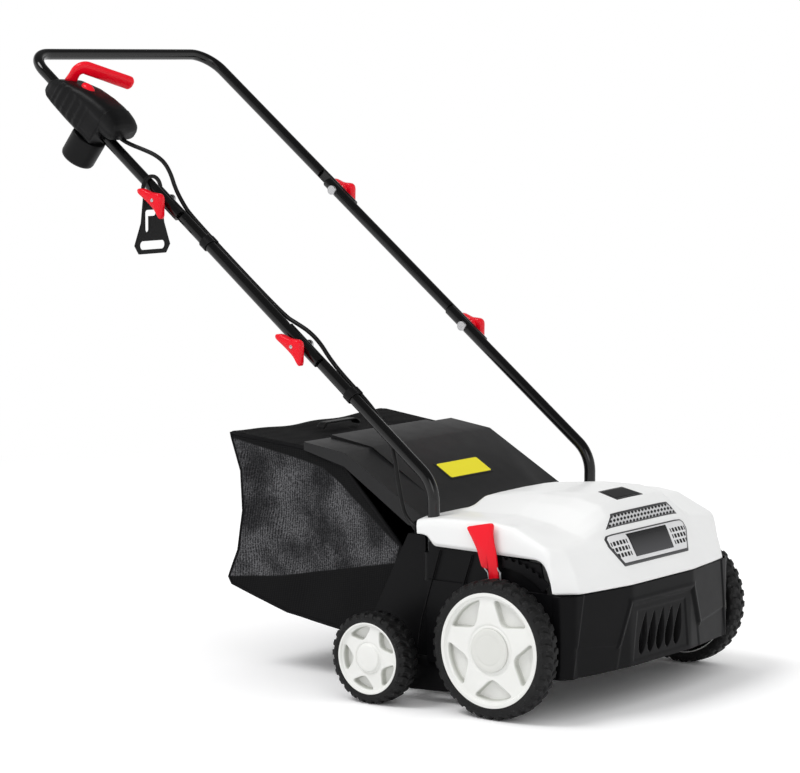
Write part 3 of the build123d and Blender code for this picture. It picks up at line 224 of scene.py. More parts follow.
def moulded(name, look):
    # plastic or lacquer: a cloudy tint in broad soft patches, uneven gloss and fine grain; a dust term could pale the
    # patches, but no finish here sets it
    material, tree, coords, _ = startMaterial(name)
    cloud = grain(tree, coords, look.get("cloudScale", 9), 3).step(0.3, 0.7)
    tint = look["colour"]
    pale = tuple(min(1, c * look.get("vary", 1.08) + look.get("dust", 0)) for c in tint)
    fine = grain(tree, coords, look.get("grainScale", 1500), 3)
    rough = look["rough"] + (grain(tree, coords, 35, 3) - 0.5) * look.get("roughVary", 0.06)
    closeMaterial(tree, principled(
        tree, cloud.mixColour(tint, pale), rough, Coat_Weight=look.get("coat", 0),
        Coat_Roughness=look.get("coatRough", 0.08), Metallic=look.get("metal", 0),
        Specular_IOR_Level=look.get("specular", 0.5),
        Normal=bumped(tree, fine, look.get("grain", 0.1), look.get("grainDepth", 0.0002))))
    return material


finishes = {
    "hoodWhite": dict(colour=(0.90, 0.905, 0.90), rough=0.36, coat=0.2, vary=1.02, grain=0.05, grainScale=1800),
    "housingBlack": dict(colour=(0.0035, 0.0035, 0.004), rough=0.42, vary=1.3, grain=0.25, grainScale=1400,
                         roughVary=0.12, specular=0.13),
    "flapBlack": dict(colour=(0.006, 0.006, 0.0066), rough=0.40, vary=1.25, grain=0.25, grainScale=1300,
                      roughVary=0.12, specular=0.36),
    "tubeBlack": dict(colour=(0.002, 0.002, 0.0022), rough=0.13, vary=1.2, grain=0.02, grainScale=500, specular=0.5),
    "gripBlack": dict(colour=(0.005, 0.005, 0.0054), rough=0.42, vary=1.3, grain=0.3, grainScale=1200, specular=0.17),
    "wheelWhite": dict(colour=(0.72, 0.725, 0.69), rough=0.4, coat=0.1, vary=1.03, grain=0.05, grainScale=1500),
    "redGloss": dict(colour=(0.84, 0.0008, 0.014), rough=0.32, coat=0.15, vary=1.06, grain=0.04, grainScale=1200,
                     specular=0.25),
    "cableRubber": dict(colour=(0.004, 0.004, 0.0042), rough=0.42, vary=1.3, grain=0.12, grainScale=1500, specular=0.3),
    "zincSteel": dict(colour=(0.58, 0.58, 0.59), rough=0.32, metal=1, vary=1.1, grain=0.12, grainScale=900,
                      roughVary=0.2),
    "springSteel": dict(colour=(0.40, 0.40, 0.42), rough=0.36, metal=1, vary=1.15, grain=0.12, grainScale=900),
    "alloy": dict(colour=(0.7, 0.7, 0.71), rough=0.28, metal=1, vary=1.05, grain=0.1, grainScale=700),
    "fanGrey": dict(colour=(0.08, 0.08, 0.085), rough=0.5, vary=1.1, grain=0.1),
    "beltRubber": dict(colour=(0.015, 0.015, 0.015), rough=0.7, vary=1.4, grain=0.3, grainScale=900),
    "bagCloth": dict(colour=(0.005, 0.005, 0.0055), rough=0.85, vary=1.6, grain=0.6, grainScale=1100,
                     grainDepth=0.0005, specular=0.15),
    "wireBlack": dict(colour=(0.006, 0.006, 0.0065), rough=0.3, vary=1.2, grain=0.03, specular=0.3),
    "noseBezel": dict(colour=(0.04, 0.04, 0.043), rough=0.3, vary=1.2, grain=0.06),
    "noseDark": dict(colour=(0.006, 0.006, 0.007), rough=0.5, vary=1.2, grain=0.05, specular=0.25),
    "labelYellow": dict(colour=(0.86, 0.76, 0.008), rough=0.4, vary=1.03, grain=0.04),
    "labelDark": dict(colour=(0.012, 0.012, 0.013), rough=0.35, vary=1.1, grain=0.04),
}
paint = {name: moulded(name, look) for name, look in finishes.items()}
print("finishes made")


def place(mesh, name, body, material, slot, hides=(), smooth=True):
    piece = addObject(name, mesh)
    mesh.materials.clear()
    mesh.materials.append(paint[material] if isinstance(material, str) else material)
    if smooth:
        mesh.shade_smooth()
    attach(piece, body)
    if hides:
        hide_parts(*([hides] if isinstance(hides, str) else hides))
    return piece


def meshOf(name, points, faces):
    mesh = bpy.data.meshes.new(name)
    mesh.from_pydata(np.asarray(points, float).reshape(-1, 3).tolist(), [], np.asarray(faces).tolist())
    mesh.validate()
    return mesh


def gridFaces(rows, columns, closeRows=False, closeColumns=False, keep=None):
    # quads of a rows by columns grid, wrapping round where it is closed; keep drops some of them
    r = np.arange(rows if closeRows else rows - 1)
    c = np.arange(columns if closeColumns else columns - 1)
    i, j = (a.ravel() for a in np.meshgrid(r, c, indexing="ij"))
    i2, j2 = (i + 1) % rows, (j + 1) % columns
    faces = np.stack([i * columns + j, i * columns + j2, i2 * columns + j2, i2 * columns + j], 1)
    return faces if keep is None else faces[keep.ravel()]


def cleaned(mesh, merge=1e-5, outward=True):
    # doubles merged and, on a closed form, faces turned outwards
    work = bmesh.new()
    work.from_mesh(mesh)
    bmesh.ops.remove_doubles(work, verts=work.verts, dist=merge)
    bmesh.ops.dissolve_degenerate(work, edges=work.edges, dist=merge)
    if outward:
        bmesh.ops.recalc_face_normals(work, faces=work.faces)
    work.to_mesh(mesh)
    work.free()
    return mesh


def addModifier(piece, kind, **settings):
    modifier = piece.modifiers.new(kind.lower(), kind)
    for key, value in settings.items():
        setattr(modifier, key, value)
    return modifier


def smoothLine(points, passes=1):
    # each row but the first and last becomes a quarter, a half and a quarter of itself and its neighbours
    for _ in range(passes):
        points[1:-1] = (points[:-2] + 2 * points[1:-1] + points[2:]) / 4
    return points


def smoothLoop(points, passes):
    for _ in range(passes):
        points = (np.roll(points, 1, 0) + 2 * points + np.roll(points, -1, 0)) / 4
    return points


def softened(points, passes):
    # rows and columns of a grid smoothed in turn; its edges stay
    p = points.copy()
    for _ in range(passes):
        smoothLine(p)
        smoothLine(p.swapaxes(0, 1))
    return p


def capped(grid, closeEnd=True):
    # a row at the first row's middle goes before the grid, and one at the last row's middle after it
    first = grid[:1] * 0 + grid[:1].mean(1, keepdims=True)
    last = grid[-1:] * 0 + grid[-1:].mean(1, keepdims=True)
    return np.concatenate([first, grid, last] if closeEnd else [first, grid])


def verticesOf(mesh):
    co = np.empty(len(mesh.vertices) * 3)
    mesh.vertices.foreach_get("co", co)
    return co.reshape(-1, 3)


def dressed(node, material, slot, bevel=0.0, segments=2, angle=32):
    # a copy of a CAD node with its doubles merged, flat faces joined and edges rounded
    body = frame["nodes"][node]["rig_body"]
    mesh = frame["nodes"][node].data.copy()
    mesh.name = node + "_finish"
    work = bmesh.new()
    work.from_mesh(mesh)
    bmesh.ops.remove_doubles(work, verts=work.verts, dist=1e-6)
    bmesh.ops.dissolve_limit(work, angle_limit=radians(0.6), verts=work.verts, edges=work.edges)
    bmesh.ops.recalc_face_normals(work, faces=work.faces)
    work.to_mesh(mesh)
    work.free()
    for name in [a.name for a in mesh.attributes if a.name.startswith("custom_normal")]:
        mesh.attributes.remove(mesh.attributes[name])
    piece = place(mesh, node + "_finish", body, material, slot, node)
    if bevel:
        addModifier(piece, "BEVEL", width=bevel * mm, segments=segments, limit_method="ANGLE",
                    angle_limit=radians(angle), harden_normals=False, use_clamp_overlap=True)
    mesh.set_sharp_from_angle(angle=radians(angle))
    return piece


setting = {
    "floorHalf": 12.0, "fadeFrom": 1.3, "fadeTo": 2.6, "floorColour": (0.90, 0.90, 0.905),
    "floorShown": (1.13, 1.13, 1.135), "skyStrength": 0.75, "glossHorizon": 0.8, "glossTop": 0.14,
    "sunStrength": 1.05, "sunSoftness": 0.4, "fillPower": 16,
}


def seenDirectly(tree):
    # 1 for camera and transmission rays, 0 for the light that falls on the object
    rays = [tree.node("ShaderNodeLightPath", out=name) for name in ("Is Camera Ray", "Is Transmission Ray")]
    return rays[0].max(rays[1])


def makeFloor():
    half = setting["floorHalf"]
    mesh = meshOf("floor", [(-half, -half, 0), (half, -half, 0), (half, half, 0), (-half, half, 0)], [(0, 1, 2, 3)])
    floor = addObject("floor", mesh)
    material, tree, coords, (x, y, _) = startMaterial("floorPaper")
    shown = seenDirectly(tree).mixColour(setting["floorColour"], setting["floorShown"])
    paper = principled(tree, shown, 0.9, Specular_IOR_Level=0.1,
                       Normal=bumped(tree, grain(tree, coords, 60, 2), 0.02, 0.001))
    white = tree.node("ShaderNodeEmission", sockets={"Color": (1, 1, 1, 1), "Strength": 1.0})
    far = tree.math("SQRT", x * x + y * y).step(setting["fadeFrom"], setting["fadeTo"])
    closeMaterial(tree, tree.node("ShaderNodeMixShader", sockets={0: far * seenDirectly(tree), 1: paper, 2: white}))
    mesh.materials.append(material)


def makeWorld():
    world = bpy.data.worlds.new("studio")
    bpy.context.scene.world = world
    world.use_nodes = True
    world.node_tree.nodes.clear()
    tree = Link(world.node_tree)
    dome = tree.node("ShaderNodeBackground", sockets={"Color": (1, 1, 1, 1), "Strength": setting["skyStrength"]})
    white = tree.node("ShaderNodeBackground", sockets={"Color": (1, 1, 1, 1), "Strength": 1.0})
    # reflections see a bright horizon under a dim top
    horizon, top = (tree.node("ShaderNodeBackground", sockets={"Color": (1, 1, 1, 1), "Strength": setting[key]})
                    for key in ("glossHorizon", "glossTop"))
    direction = tree.node("ShaderNodeTexCoord", out="Generated")
    height = tree.node("ShaderNodeSeparateXYZ", sockets={0: direction}, out=2)
    dim = tree.node("ShaderNodeMixShader", sockets={0: height.step(0.2, 0.6), 1: horizon, 2: top})
    glossy = tree.node("ShaderNodeLightPath", out="Is Glossy Ray")
    around = tree.node("ShaderNodeMixShader", sockets={0: glossy, 1: dome, 2: dim})
    surface = tree.node("ShaderNodeMixShader", sockets={0: seenDirectly(tree), 1: around, 2: white})
    output = tree.tree.nodes.new("ShaderNodeOutputWorld")
    tree.tree.links.new(surface.socket, output.inputs[0])


def addLamp(name, kind, place, target, **settings):
    lamp = bpy.data.lights.new(name, kind)
    for key, value in settings.items():
        setattr(lamp, key, value)
    holder = addObject(name, lamp)
    holder.location = place
    holder.rotation_euler = (Vector(target) - Vector(place)).to_track_quat("-Z", "Y").to_euler()


makeFloor()
makeWorld()
addLamp("key", "SUN", (-2.2, 1.6, 4.2), (0, 0, 0), energy=setting["sunStrength"], angle=setting["sunSoftness"])
addLamp("fill", "AREA", (-2.5, -3.2, 2.2), (0, 0, 0.4), energy=setting["fillPower"], shape="DISK", size=2.0)
bpy.context.scene.view_settings.view_transform = "Standard"
print("studio set")

carried = {
    "housingBlack": ["lower_housing", "notch_quadrant", "motor_case"],
    "flapBlack": ["rear_flap"],
    "hoodWhite": ["hood"],
    "noseDark": ["front_grille"],
    "noseBezel": ["lamp_window"],
    "zincSteel": ["motor_shaft", "rotor_shaft", "front_axle", "rear_axles", "flap_pin", "lever_clip", "inlet_pins",
                  "lower_bolts", "upper_bolts", "rotor_bearings", "tine_bars"],
    "springSteel": ["spring_tines"],
    "alloy": ["motor_pulley", "rotor_pulley"],
    "fanGrey": ["motor_fan"],
    "beltRubber": ["drive_belt"],
    "redGloss": ["depth_lever", "lower_knob_right", "lower_knob_left", "upper_knob_right", "upper_knob_left",
                 "bail_lever", "lock_button"],
    "tubeBlack": ["lower_tube_right", "lower_tube_left", "middle_tube_right", "middle_tube_left", "upper_bow"],
    "gripBlack": ["switch_cover", "switch_base", "cord_hook", "cable_gland", "cable_grommet",
                  "cable_clip_upper", "cable_clip_lower", "front_right_tyre", "front_left_tyre",
                  "rear_right_tyre", "rear_left_tyre", "bag_handle"],
    "wheelWhite": ["front_right_rim", "front_left_rim", "rear_right_rim", "rear_left_rim",
                   "front_right_cap", "front_left_cap"],
    "cableRubber": ["cable_upper", "cable_fold_upper", "cable_middle", "cable_fold_lower", "cable_lower"],
    "bagCloth": ["bag_shell"],
    "wireBlack": ["bag_frame"],
}
for finish, names in carried.items():
    for name in names:
        mesh = frame["nodes"][name].data
        mesh.materials.clear()
        mesh.materials.append(paint[finish])
print("CAD pieces painted")


def spread(lengths, step):
    # positions along a run of pieces, about one step apart, with every joint between pieces kept
    parts = [np.linspace(i, i + 1, max(2, int(round(l / step)) + 1))[:-1] for i, l in enumerate(lengths)]
    return np.concatenate(parts + [[len(lengths)]])


def loft(stations, step):
    # a grid: rows run along each station's line, columns go from station to station, straight between points
    lines = np.array([points for _, points in stations], float)
    across = np.array([x for x, _ in stations], float)
    rowLengths = np.linalg.norm(np.diff(lines, axis=1), axis=2).mean(0)
    gaps = np.concatenate([np.diff(across)[:, None, None].repeat(lines.shape[1], 1), np.diff(lines, axis=0)], 2)
    v = spread(rowLengths, step)
    u = spread(np.linalg.norm(gaps, axis=2).mean(1), step)
    i, f = np.minimum(v.astype(int), lines.shape[1] - 2), v - np.minimum(v.astype(int), lines.shape[1] - 2)
    along = lines[:, i] * (1 - f)[None, :, None] + lines[:, i + 1] * f[None, :, None]
    j = np.minimum(u.astype(int), len(across) - 2)
    g = u - j
    grid = along[j] * (1 - g)[:, None, None] + along[j + 1] * g[:, None, None]
    x = across[j] * (1 - g) + across[j + 1] * g
    full = np.concatenate([x[:, None, None].repeat(len(v), 1), grid], 2)
    return full.transpose(1, 0, 2), v, x


def mirrored(half):
    # a half grid that starts at the middle column, joined to its mirror image
    flipped = half[:, :0:-1] * np.array([-1, 1, 1])
    return np.concatenate([flipped, half], 1)


def normalsOf(grid):
    down, side = np.gradient(grid, axis=0), np.gradient(grid, axis=1)
    n = np.cross(side, down)
    n /= np.maximum(np.linalg.norm(n, axis=2, keepdims=True), 1e-12)
    return n


def sampled(grid, r, c):
    # the grid's value at fractional rows and columns, weighed between its four neighbours
    r, c = np.clip(r, 0, grid.shape[0] - 1.001), np.clip(c, 0, grid.shape[1] - 1.001)
    i, j = r.astype(int), c.astype(int)
    f, g = (r - i)[..., None], (c - j)[..., None]
    return (grid[i, j] * (1 - f) * (1 - g) + grid[i + 1, j] * f * (1 - g)
            + grid[i, j + 1] * (1 - f) * g + grid[i + 1, j + 1] * f * g)


def toWorld(points):
    # millimetres with y from the front axle, into metres in the frame
    return np.asarray(points, float) * mm + np.array([0, frontAxleY, 0])


hoodShape = {
    "step": 3.2, "passes": 1, "wall": 3.0,
    # station x, then (y, z) from the rear foot over the top to the front foot
    "stations": [
        (0, [(176, 259), (176, 282), (154, 284), (147, 302), (136, 306), (40, 316), (-25, 317), (-66, 307.5),
             (-82, 290), (-86, 274), (-88, 263), (-96, 252), (-114, 217), (-126, 190)]),
        (60, [(176, 259), (176, 282), (154, 284), (147, 302), (135, 305.5), (40, 315.5), (-25, 316.5), (-66, 307),
              (-82, 290), (-86, 274), (-88, 263), (-96, 252), (-114, 217), (-126, 190)]),
        (90, [(176, 259), (176, 282), (154, 284), (147, 301), (134, 304), (40, 313), (-25, 314), (-66, 305),
              (-81, 289), (-86, 273.5), (-88, 263), (-96, 252), (-114, 217), (-126, 190)]),
        (116, [(176, 259), (176, 282), (155, 284), (147, 291), (135, 294.5), (40, 304), (-25, 304), (-60, 293),
               (-77, 280), (-84, 271), (-87, 261), (-95, 250.5), (-112, 217), (-122, 190)]),
        (152, [(176, 259), (176, 281.5), (160, 284), (147, 285.5), (134, 286.5), (40, 288), (-22, 280), (-55, 270),
               (-72, 266), (-79, 262), (-84, 257), (-91, 247), (-108, 217), (-117, 190)]),
        (206, [(176, 259), (176, 281), (163, 283.5), (147, 285), (134, 286.5), (40, 289), (-12, 284), (-45, 271),
               (-64, 262), (-74, 258.5), (-81, 253), (-88, 243), (-101, 215), (-108, 190)]),
        (234, [(170, 259), (172, 279), (161, 281.5), (147, 283.5), (134, 285), (30, 288.5), (-8, 284), (-36, 271.5),
               (-58, 262), (-68, 257.5), (-73, 252), (-76, 243), (-81.5, 215), (-85.5, 191)]),
        (238, [(168, 259), (169, 270), (160, 273), (148, 275), (135, 277), (30, 280), (-6, 276), (-34, 265),
               (-56, 256), (-65, 251), (-71, 245), (-75, 236), (-80, 212), (-82, 192)]),
        (238.4, [(167, 259), (167, 259), (157, 259), (148, 257), (135, 243), (30, 241.3), (-6, 240.8), (-32, 240.5),
                 (-52, 240.2), (-60, 238), (-67, 232), (-71.5, 224), (-78, 207), (-81, 193)]),
    ],
}
half, hoodV, halfX = loft(hoodShape["stations"], hoodShape["step"])
hoodGrid = softened(mirrored(half), hoodShape["passes"])
hoodNormals = normalsOf(hoodGrid)
hoodNormals *= np.sign(hoodNormals[hoodGrid.shape[0] // 2, hoodGrid.shape[1] // 2, 2])
columnX = np.concatenate([-halfX[:0:-1], halfX])


def onHood(x, v, lift):
    # a point on the hood's skin at x and section place v, raised along the skin's normal
    r = np.interp(v, hoodV, np.arange(len(hoodV)))
    c = np.interp(x, columnX, np.arange(len(columnX)))
    return sampled(hoodGrid, r, c) + sampled(hoodNormals, r, c) * np.asarray(lift)[..., None]


hoodMesh = cleaned(meshOf("hood_skin", toWorld(hoodGrid), gridFaces(*hoodGrid.shape[:2])), outward=False)
if hoodMesh.polygons[len(hoodMesh.polygons) // 2].normal.z < 0:
    hoodMesh.flip_normals()
hoodSkin = place(hoodMesh, "hood_skin", "chassis", "hoodWhite", "hood_white", "hood")
addModifier(hoodSkin, "SOLIDIFY", thickness=hoodShape["wall"] * mm, offset=-1, use_even_offset=False)


def lid(name, outline, lift, material, slot, hides=(), edge=1.6, counts=(22, 90)):
    # a plate on the hood, its rim turned down: outline lists (section place, half width) from back to front
    places, widths = np.array(outline, float).T
    s = np.linspace(-1, 1, counts[1])
    t = np.linspace(0, 1, counts[0])
    v = np.interp(t, (places - places[0]) / (places[-1] - places[0]), places)
    halfWidth = np.interp(v, places, widths)
    x = s[None, :] * halfWidth[:, None]
    vv = v[:, None] + np.zeros_like(x)
    flat = onHood(x, vv, np.zeros_like(x))
    run = np.concatenate([[0], np.cumsum(np.linalg.norm(np.diff(flat[:, counts[1] // 2], axis=0), axis=1))])
    rim = np.minimum(np.minimum(run, run[-1] - run)[:, None], ((1 - abs(s))[None, :] * halfWidth[:, None]))
    up = lift * np.clip(rim / edge, 0, 1) ** 0.5 - 0.8 * (rim <= 1e-6)
    points = onHood(x, vv, up)
    mesh = meshOf(name, toWorld(points), gridFaces(*counts))
    uv = mesh.uv_layers.new(name="panel")       # metres along and across the plate, from its middle
    flatUv = np.stack([x * mm, (run[:, None] - run[-1] / 2 + np.zeros_like(x)) * mm], 2).reshape(-1, 2)
    corner = np.empty(len(mesh.loops), int)
    mesh.loops.foreach_get("vertex_index", corner)
    uv.data.foreach_set("uv", flatUv[corner].ravel())
    normal = mesh.polygons[len(mesh.polygons) // 2].normal
    if normal.y > 0 or normal.z < 0:
        mesh.flip_normals()
    return place(mesh, name, "chassis", material, slot, hides)


def panelCoords(tree):
    coords = tree.node("ShaderNodeUVMap", {"uv_map": "panel"})
    return coords, [tree.node("ShaderNodeSeparateXYZ", sockets={0: coords}, out=i) for i in range(2)]


def holesMaterial(name, look):
    # rows of rounded holes in a plate; look gives the pitches, hole share, colours and where the holes stop
    material, tree, coords, _ = startMaterial(name)
    _, (u, w) = panelCoords(tree)
    row = tree.math("FLOOR", w / look["pitch"][1] + 0.5)
    shift = row.wrap(2.0) * (look["pitch"][0] / 2 if look["staggered"] else 0.0)
    a = ((u + shift + look["pitch"][0] / 2).wrap(look["pitch"][0]) - look["pitch"][0] / 2) / look["pitch"][0]
    b = ((w + look["pitch"][1] / 2).wrap(look["pitch"][1]) - look["pitch"][1] / 2) / look["pitch"][1]
    a, b = tree.math("ABSOLUTE", a), tree.math("ABSOLUTE", b)
    reach = tree.math("POWER", tree.math("POWER", a, look["corner"]) + tree.math("POWER", b, look["corner"]),
                      1 / look["corner"])
    hole = 1.0 - reach.step(look["hole"] - 0.05, look["hole"] + 0.05)
    side = tree.math("ABSOLUTE", u)
    if "inner" in look:
        hole = hole * side.step(look["inner"] - 0.0004, look["inner"] + 0.0004)
        hole = hole * (1.0 - side.step(look["outer"] - 0.0004, look["outer"] + 0.0004))
        hole = hole * (1.0 - tree.math("ABSOLUTE", w).step(look["tall"] - 0.0004, look["tall"] + 0.0004))
    body = grain(tree, coords, 30, 2).mixColour(look["colour"], tuple(c * 1.1 for c in look["colour"]))
    closeMaterial(tree, principled(
        tree, hole.mixColour(body, look["holeColour"]), hole * 0.5 + look["rough"], Coat_Weight=0.2,
        Normal=bumped(tree, 1.0 - hole, 0.8, 0.0012)))
    return material


def glassMaterial():
    # a dark lamp glass, paler towards its foot, with a faint ribbing behind it
    material, tree, coords, _ = startMaterial("lampGlass")
    _, (u, w) = panelCoords(tree)
    pale = (w * 28.0 + 0.5).step(0.0, 1.0)
    rib = (u * 900.0).sine() * 0.04 + 0.5
    body = (pale * 0.9 + rib * 0.1).mixColour((0.012, 0.012, 0.013), (0.06, 0.06, 0.064))
    closeMaterial(tree, principled(tree, body, 0.16, Specular_IOR_Level=0.25,
                                   Normal=bumped(tree, grain(tree, coords, 500, 2), 0.02, 0.0002)))
    return material


grilleLook = dict(pitch=(0.0096, 0.0064), staggered=True, corner=1.25, hole=0.4, rough=0.35,
                  colour=(0.56, 0.56, 0.57), holeColour=(0.004, 0.004, 0.005))
lampHoles = dict(pitch=(0.0088, 0.0098), staggered=False, corner=6.0, hole=0.34, rough=0.34,
                 colour=(0.74, 0.74, 0.75), holeColour=(0.004, 0.004, 0.005), inner=0.0615, outer=0.1055, tall=0.0147)
paint["grilleMesh"] = holesMaterial("grilleMesh", grilleLook)
paint["lampSides"] = holesMaterial("lampSides", lampHoles)
paint["lampGlass"] = glassMaterial()

lid("grille_frame", [(7.8, 80), (9.15, 104)], 0.9, "noseBezel", "housing_black", "front_grille")
lid("grille_mesh", [(7.96, 79), (8.98, 99)], 1.4, "grilleMesh", "housing_black")
lid("lamp_bezel", [(9.96, 106), (10.35, 113), (11.1, 113), (12.04, 91)], 1.2, "noseBezel", "housing_black", edge=2.2,
    counts=(40, 130))
lid("lamp_sides", [(10.12, 103), (10.45, 109), (11.1, 109), (11.92, 89)], 1.8, "lampSides", "housing_black",
    counts=(40, 130))
lid("lamp_glass", [(10.26, 59), (11.8, 55)], 2.5, "lampGlass", "lamp_glass", "lamp_window", edge=2.4)
lid("badge_frame", [(6.02, 34), (6.98, 38)], 0.7, "labelDark", "housing_black")
lid("badge_plate", [(6.12, 31), (6.88, 35)], 1.1, "noseDark", "housing_black")
print("hood made")


wheelLook = {
    "angles": 400, "tyreAngles": 720, "lugs": {"front": 36, "rear": 27}, "lugDepth": 2.8, "lugCurve": 0.42,
    "firstSpoke": {"front": 85, "rear": 104},       # where it points, in degrees
    "spokes": 5, "spokeHalf": 0.125, "spokeFlare": 0.34, "hubShare": 0.375, "hubFlat": {"front": 0.4, "rear": 4.4},
    "windowFrom": 0.5, "windowTo": 0.87, "corner": 6.0, "windowDepth": 13.0, "ringShare": 0.91,
}


def smoothStep(value, low, high):
    t = np.clip((value - low) / (high - low), 0, 1)
    return t * t * (3 - 2 * t)


def turnedAbout(x, r, angles, centre, side):
    # profile points (x outward, radius) carried round the X axis through a wheel's centre, in metres
    x, r, angles = np.broadcast_arrays(x, r, angles)
    out = np.empty(x.shape + (3,))
    out[..., 0] = side * x * mm
    out[..., 1] = centre.y + r * np.cos(angles) * mm
    out[..., 2] = centre.z + r * np.sin(angles) * mm
    return out


def closedRing(name, points, body, material, slot, hides=()):
    # a grid closed round its columns, with its first and last rows drawn to a point or meeting each other
    mesh = cleaned(meshOf(name, points, gridFaces(*points.shape[:2], closeColumns=True)))
    return place(mesh, name, body, material, slot, hides)


def makeTyre(label, side, radius, rimRadius, inside, outside, centre):
    # the section runs from the inner bead over the tread to the outer bead and back under; the tread's
    # height drops in curved grooves that alternate between the two shoulders
    width = outside - inside
    section = np.array([
        (inside + 1.5, rimRadius - 1.5), (inside + 0.3, rimRadius + 3), (inside, radius - 10),
        (inside + 1.2, radius - 5),
        (inside + 5, radius - 0.8), (inside + 12, radius), (outside - 12, radius), (outside - 5, radius - 0.8),
        (outside - 1.2, radius - 5), (outside, radius - 10), (outside - 0.3, rimRadius + 3),
        (outside - 1.5, rimRadius - 1.5), (outside - 6, rimRadius - 3), (inside + 6, rimRadius - 3),
        (inside + 1.5, rimRadius - 1.5)], float)
    run = np.concatenate([[0], np.cumsum(np.linalg.norm(np.diff(section, axis=0), axis=1))])
    t = np.linspace(0, run[-1], 64)
    x, r = np.interp(t, run, section[:, 0]), np.interp(t, run, section[:, 1])
    a = np.linspace(0, 2 * pi, wheelLook["tyreAngles"], endpoint=False)
    across = (x - (inside + outside) / 2) / (width / 2)
    lugs = wheelLook["lugs"][label.split("_")[0]]
    phase = (a[None, :] * lugs / (2 * pi) + wheelLook["lugCurve"] * np.sin(abs(across) * 2.4)[:, None]
             + 0.5 * (across > 0)[:, None])
    gap = smoothStep(abs(phase % 1 - 0.5), 0.19, 0.25)
    band = smoothStep(r, radius - 7.5, radius - 4.5)[:, None] * smoothStep(abs(across), 0.04, 0.14)[:, None]
    height = r[:, None] - wheelLook["lugDepth"] * (1 - gap) * band
    ridge = smoothStep(abs(r - (rimRadius + radius - 8) / 2), 1.4, 0.8)[:, None]
    height = height - 0.35 * ridge * (abs(across) > 0.9)[:, None]
    points = turnedAbout(x[:, None], height, a, centre, side)
    closedRing(label + "_tread", points, frame["nodes"][label + "_tyre"]["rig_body"], paint["tyreRubber"], "wheel_tyre",
               label + "_tyre")


def makeRim(label, side, rimRadius, inside, outside, centre, hubFlat):
    # outward height over the disc, as a function of radius and angle: an edge ring, five broad spokes,
    # five sunken windows with rounded corners, and a hub; behind it a drum and a plain back
    look = wheelLook
    a = np.linspace(0, 2 * pi, look["angles"], endpoint=False)
    r = np.concatenate([np.linspace(0.02, 0.36, 12), np.linspace(0.365, 1.0, 62)]) * rimRadius
    reach, angle = r[:, None] + 0 * a[None, :], a[None, :] + 0 * r[:, None]
    turn = 2 * pi / look["spokes"]
    nearest = (angle - radians(look["firstSpoke"][label.split("_")[0]]) + turn / 2) % turn - turn / 2
    flare = look["spokeHalf"] + look["spokeFlare"] * np.maximum(0, look["windowTo"] - reach / rimRadius)
    fromSpoke = abs(reach * np.sin(nearest)) - flare * rimRadius
    fromRing = np.minimum(reach - look["windowFrom"] * rimRadius, look["windowTo"] * rimRadius - reach)
    k = look["corner"]
    p, q = np.maximum(k - fromSpoke, 0), np.maximum(k - fromRing, 0)
    inWindow = k - np.hypot(p, q)
    inWindow = np.where((fromSpoke > 0) & (fromRing > 0), inWindow, -1)
    window = smoothStep(inWindow, 0.0, 2.6)
    rib = smoothStep(reach, look["ringShare"] * rimRadius - 1, look["ringShare"] * rimRadius + 1.5)
    lip = smoothStep(reach, 0.975 * rimRadius, rimRadius)
    hub = 1 - smoothStep(reach, look["hubShare"] * rimRadius - 1.2, look["hubShare"] * rimRadius + 0.4)
    ringDip = 1.2 * np.exp(-((reach / rimRadius - 0.42) / 0.02) ** 2)
    height = outside - 5.5 - look["windowDepth"] * window + 4.2 * rib - 1.5 * lip - ringDip * (1 - window)
    height = height + hub * (hubFlat - 0.9 * (reach / (look["hubShare"] * rimRadius)) ** 4)
    backR = np.array([rimRadius, rimRadius, 0.94 * rimRadius, 0.93 * rimRadius, 0.3 * rimRadius, 0.28 * rimRadius,
                      0.06 * rimRadius])
    backX = np.array([outside - 4, inside + 1, inside + 1, outside - 17, outside - 17, inside + 2, inside + 2])
    backR, backX = backR[:, None] + 0 * a[None, :], backX[:, None] + 0 * a[None, :]
    allR, allX = np.concatenate([reach, backR]), np.concatenate([height, backX])
    allA = np.concatenate([angle, angle[:1] + 0 * backR])
    points = turnedAbout(allX, allR, allA, centre, side)
    points = capped(points)
    mesh = meshOf(label + "_star", points, gridFaces(*points.shape[:2], closeColumns=True))
    # painted shade on the windows' walls: strongest halfway down each wall, none on the face or the window floors
    sunk = np.concatenate([np.zeros((1, len(a))), 4 * window * (1 - window),
                           np.zeros((len(backR) + 1, len(a)))]).ravel()
    mesh.attributes.new("sunk", "FLOAT", "POINT").data.foreach_set("value", sunk.astype(np.float32))
    cleaned(mesh)
    place(mesh, label + "_star", frame["nodes"][label + "_rim"]["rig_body"], paint["rimWhite"], "wheel_white",
          label + "_rim")
    mesh.set_sharp_from_angle(angle=radians(50))


def makeCap(label, side, rimRadius, outside, centre):
    # a shallow dome with a rounded rim and a faint ring
    a = np.linspace(0, 2 * pi, 120, endpoint=False)
    r = np.array([0.001, 0.2, 0.4, 0.6, 0.66, 0.69, 0.72, 0.85, 0.93, 0.97, 0.995, 1.0, 1.0, 0.9, 0.001])
    r = r * (wheelLook["hubShare"] * rimRadius)
    x = outside - 1.0 + np.array([0, 0, -0.1, -0.2, -0.25, -0.6, -0.3, -0.5, -0.8, -1.2, -1.9, -2.6, -4, -4, -4])
    points = turnedAbout(x[:, None], r[:, None], a, centre, side)
    closedRing(label + "_dome", points, frame["nodes"][label + "_cap"]["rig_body"], paint["wheelWhite"], "wheel_cap",
               label + "_cap")


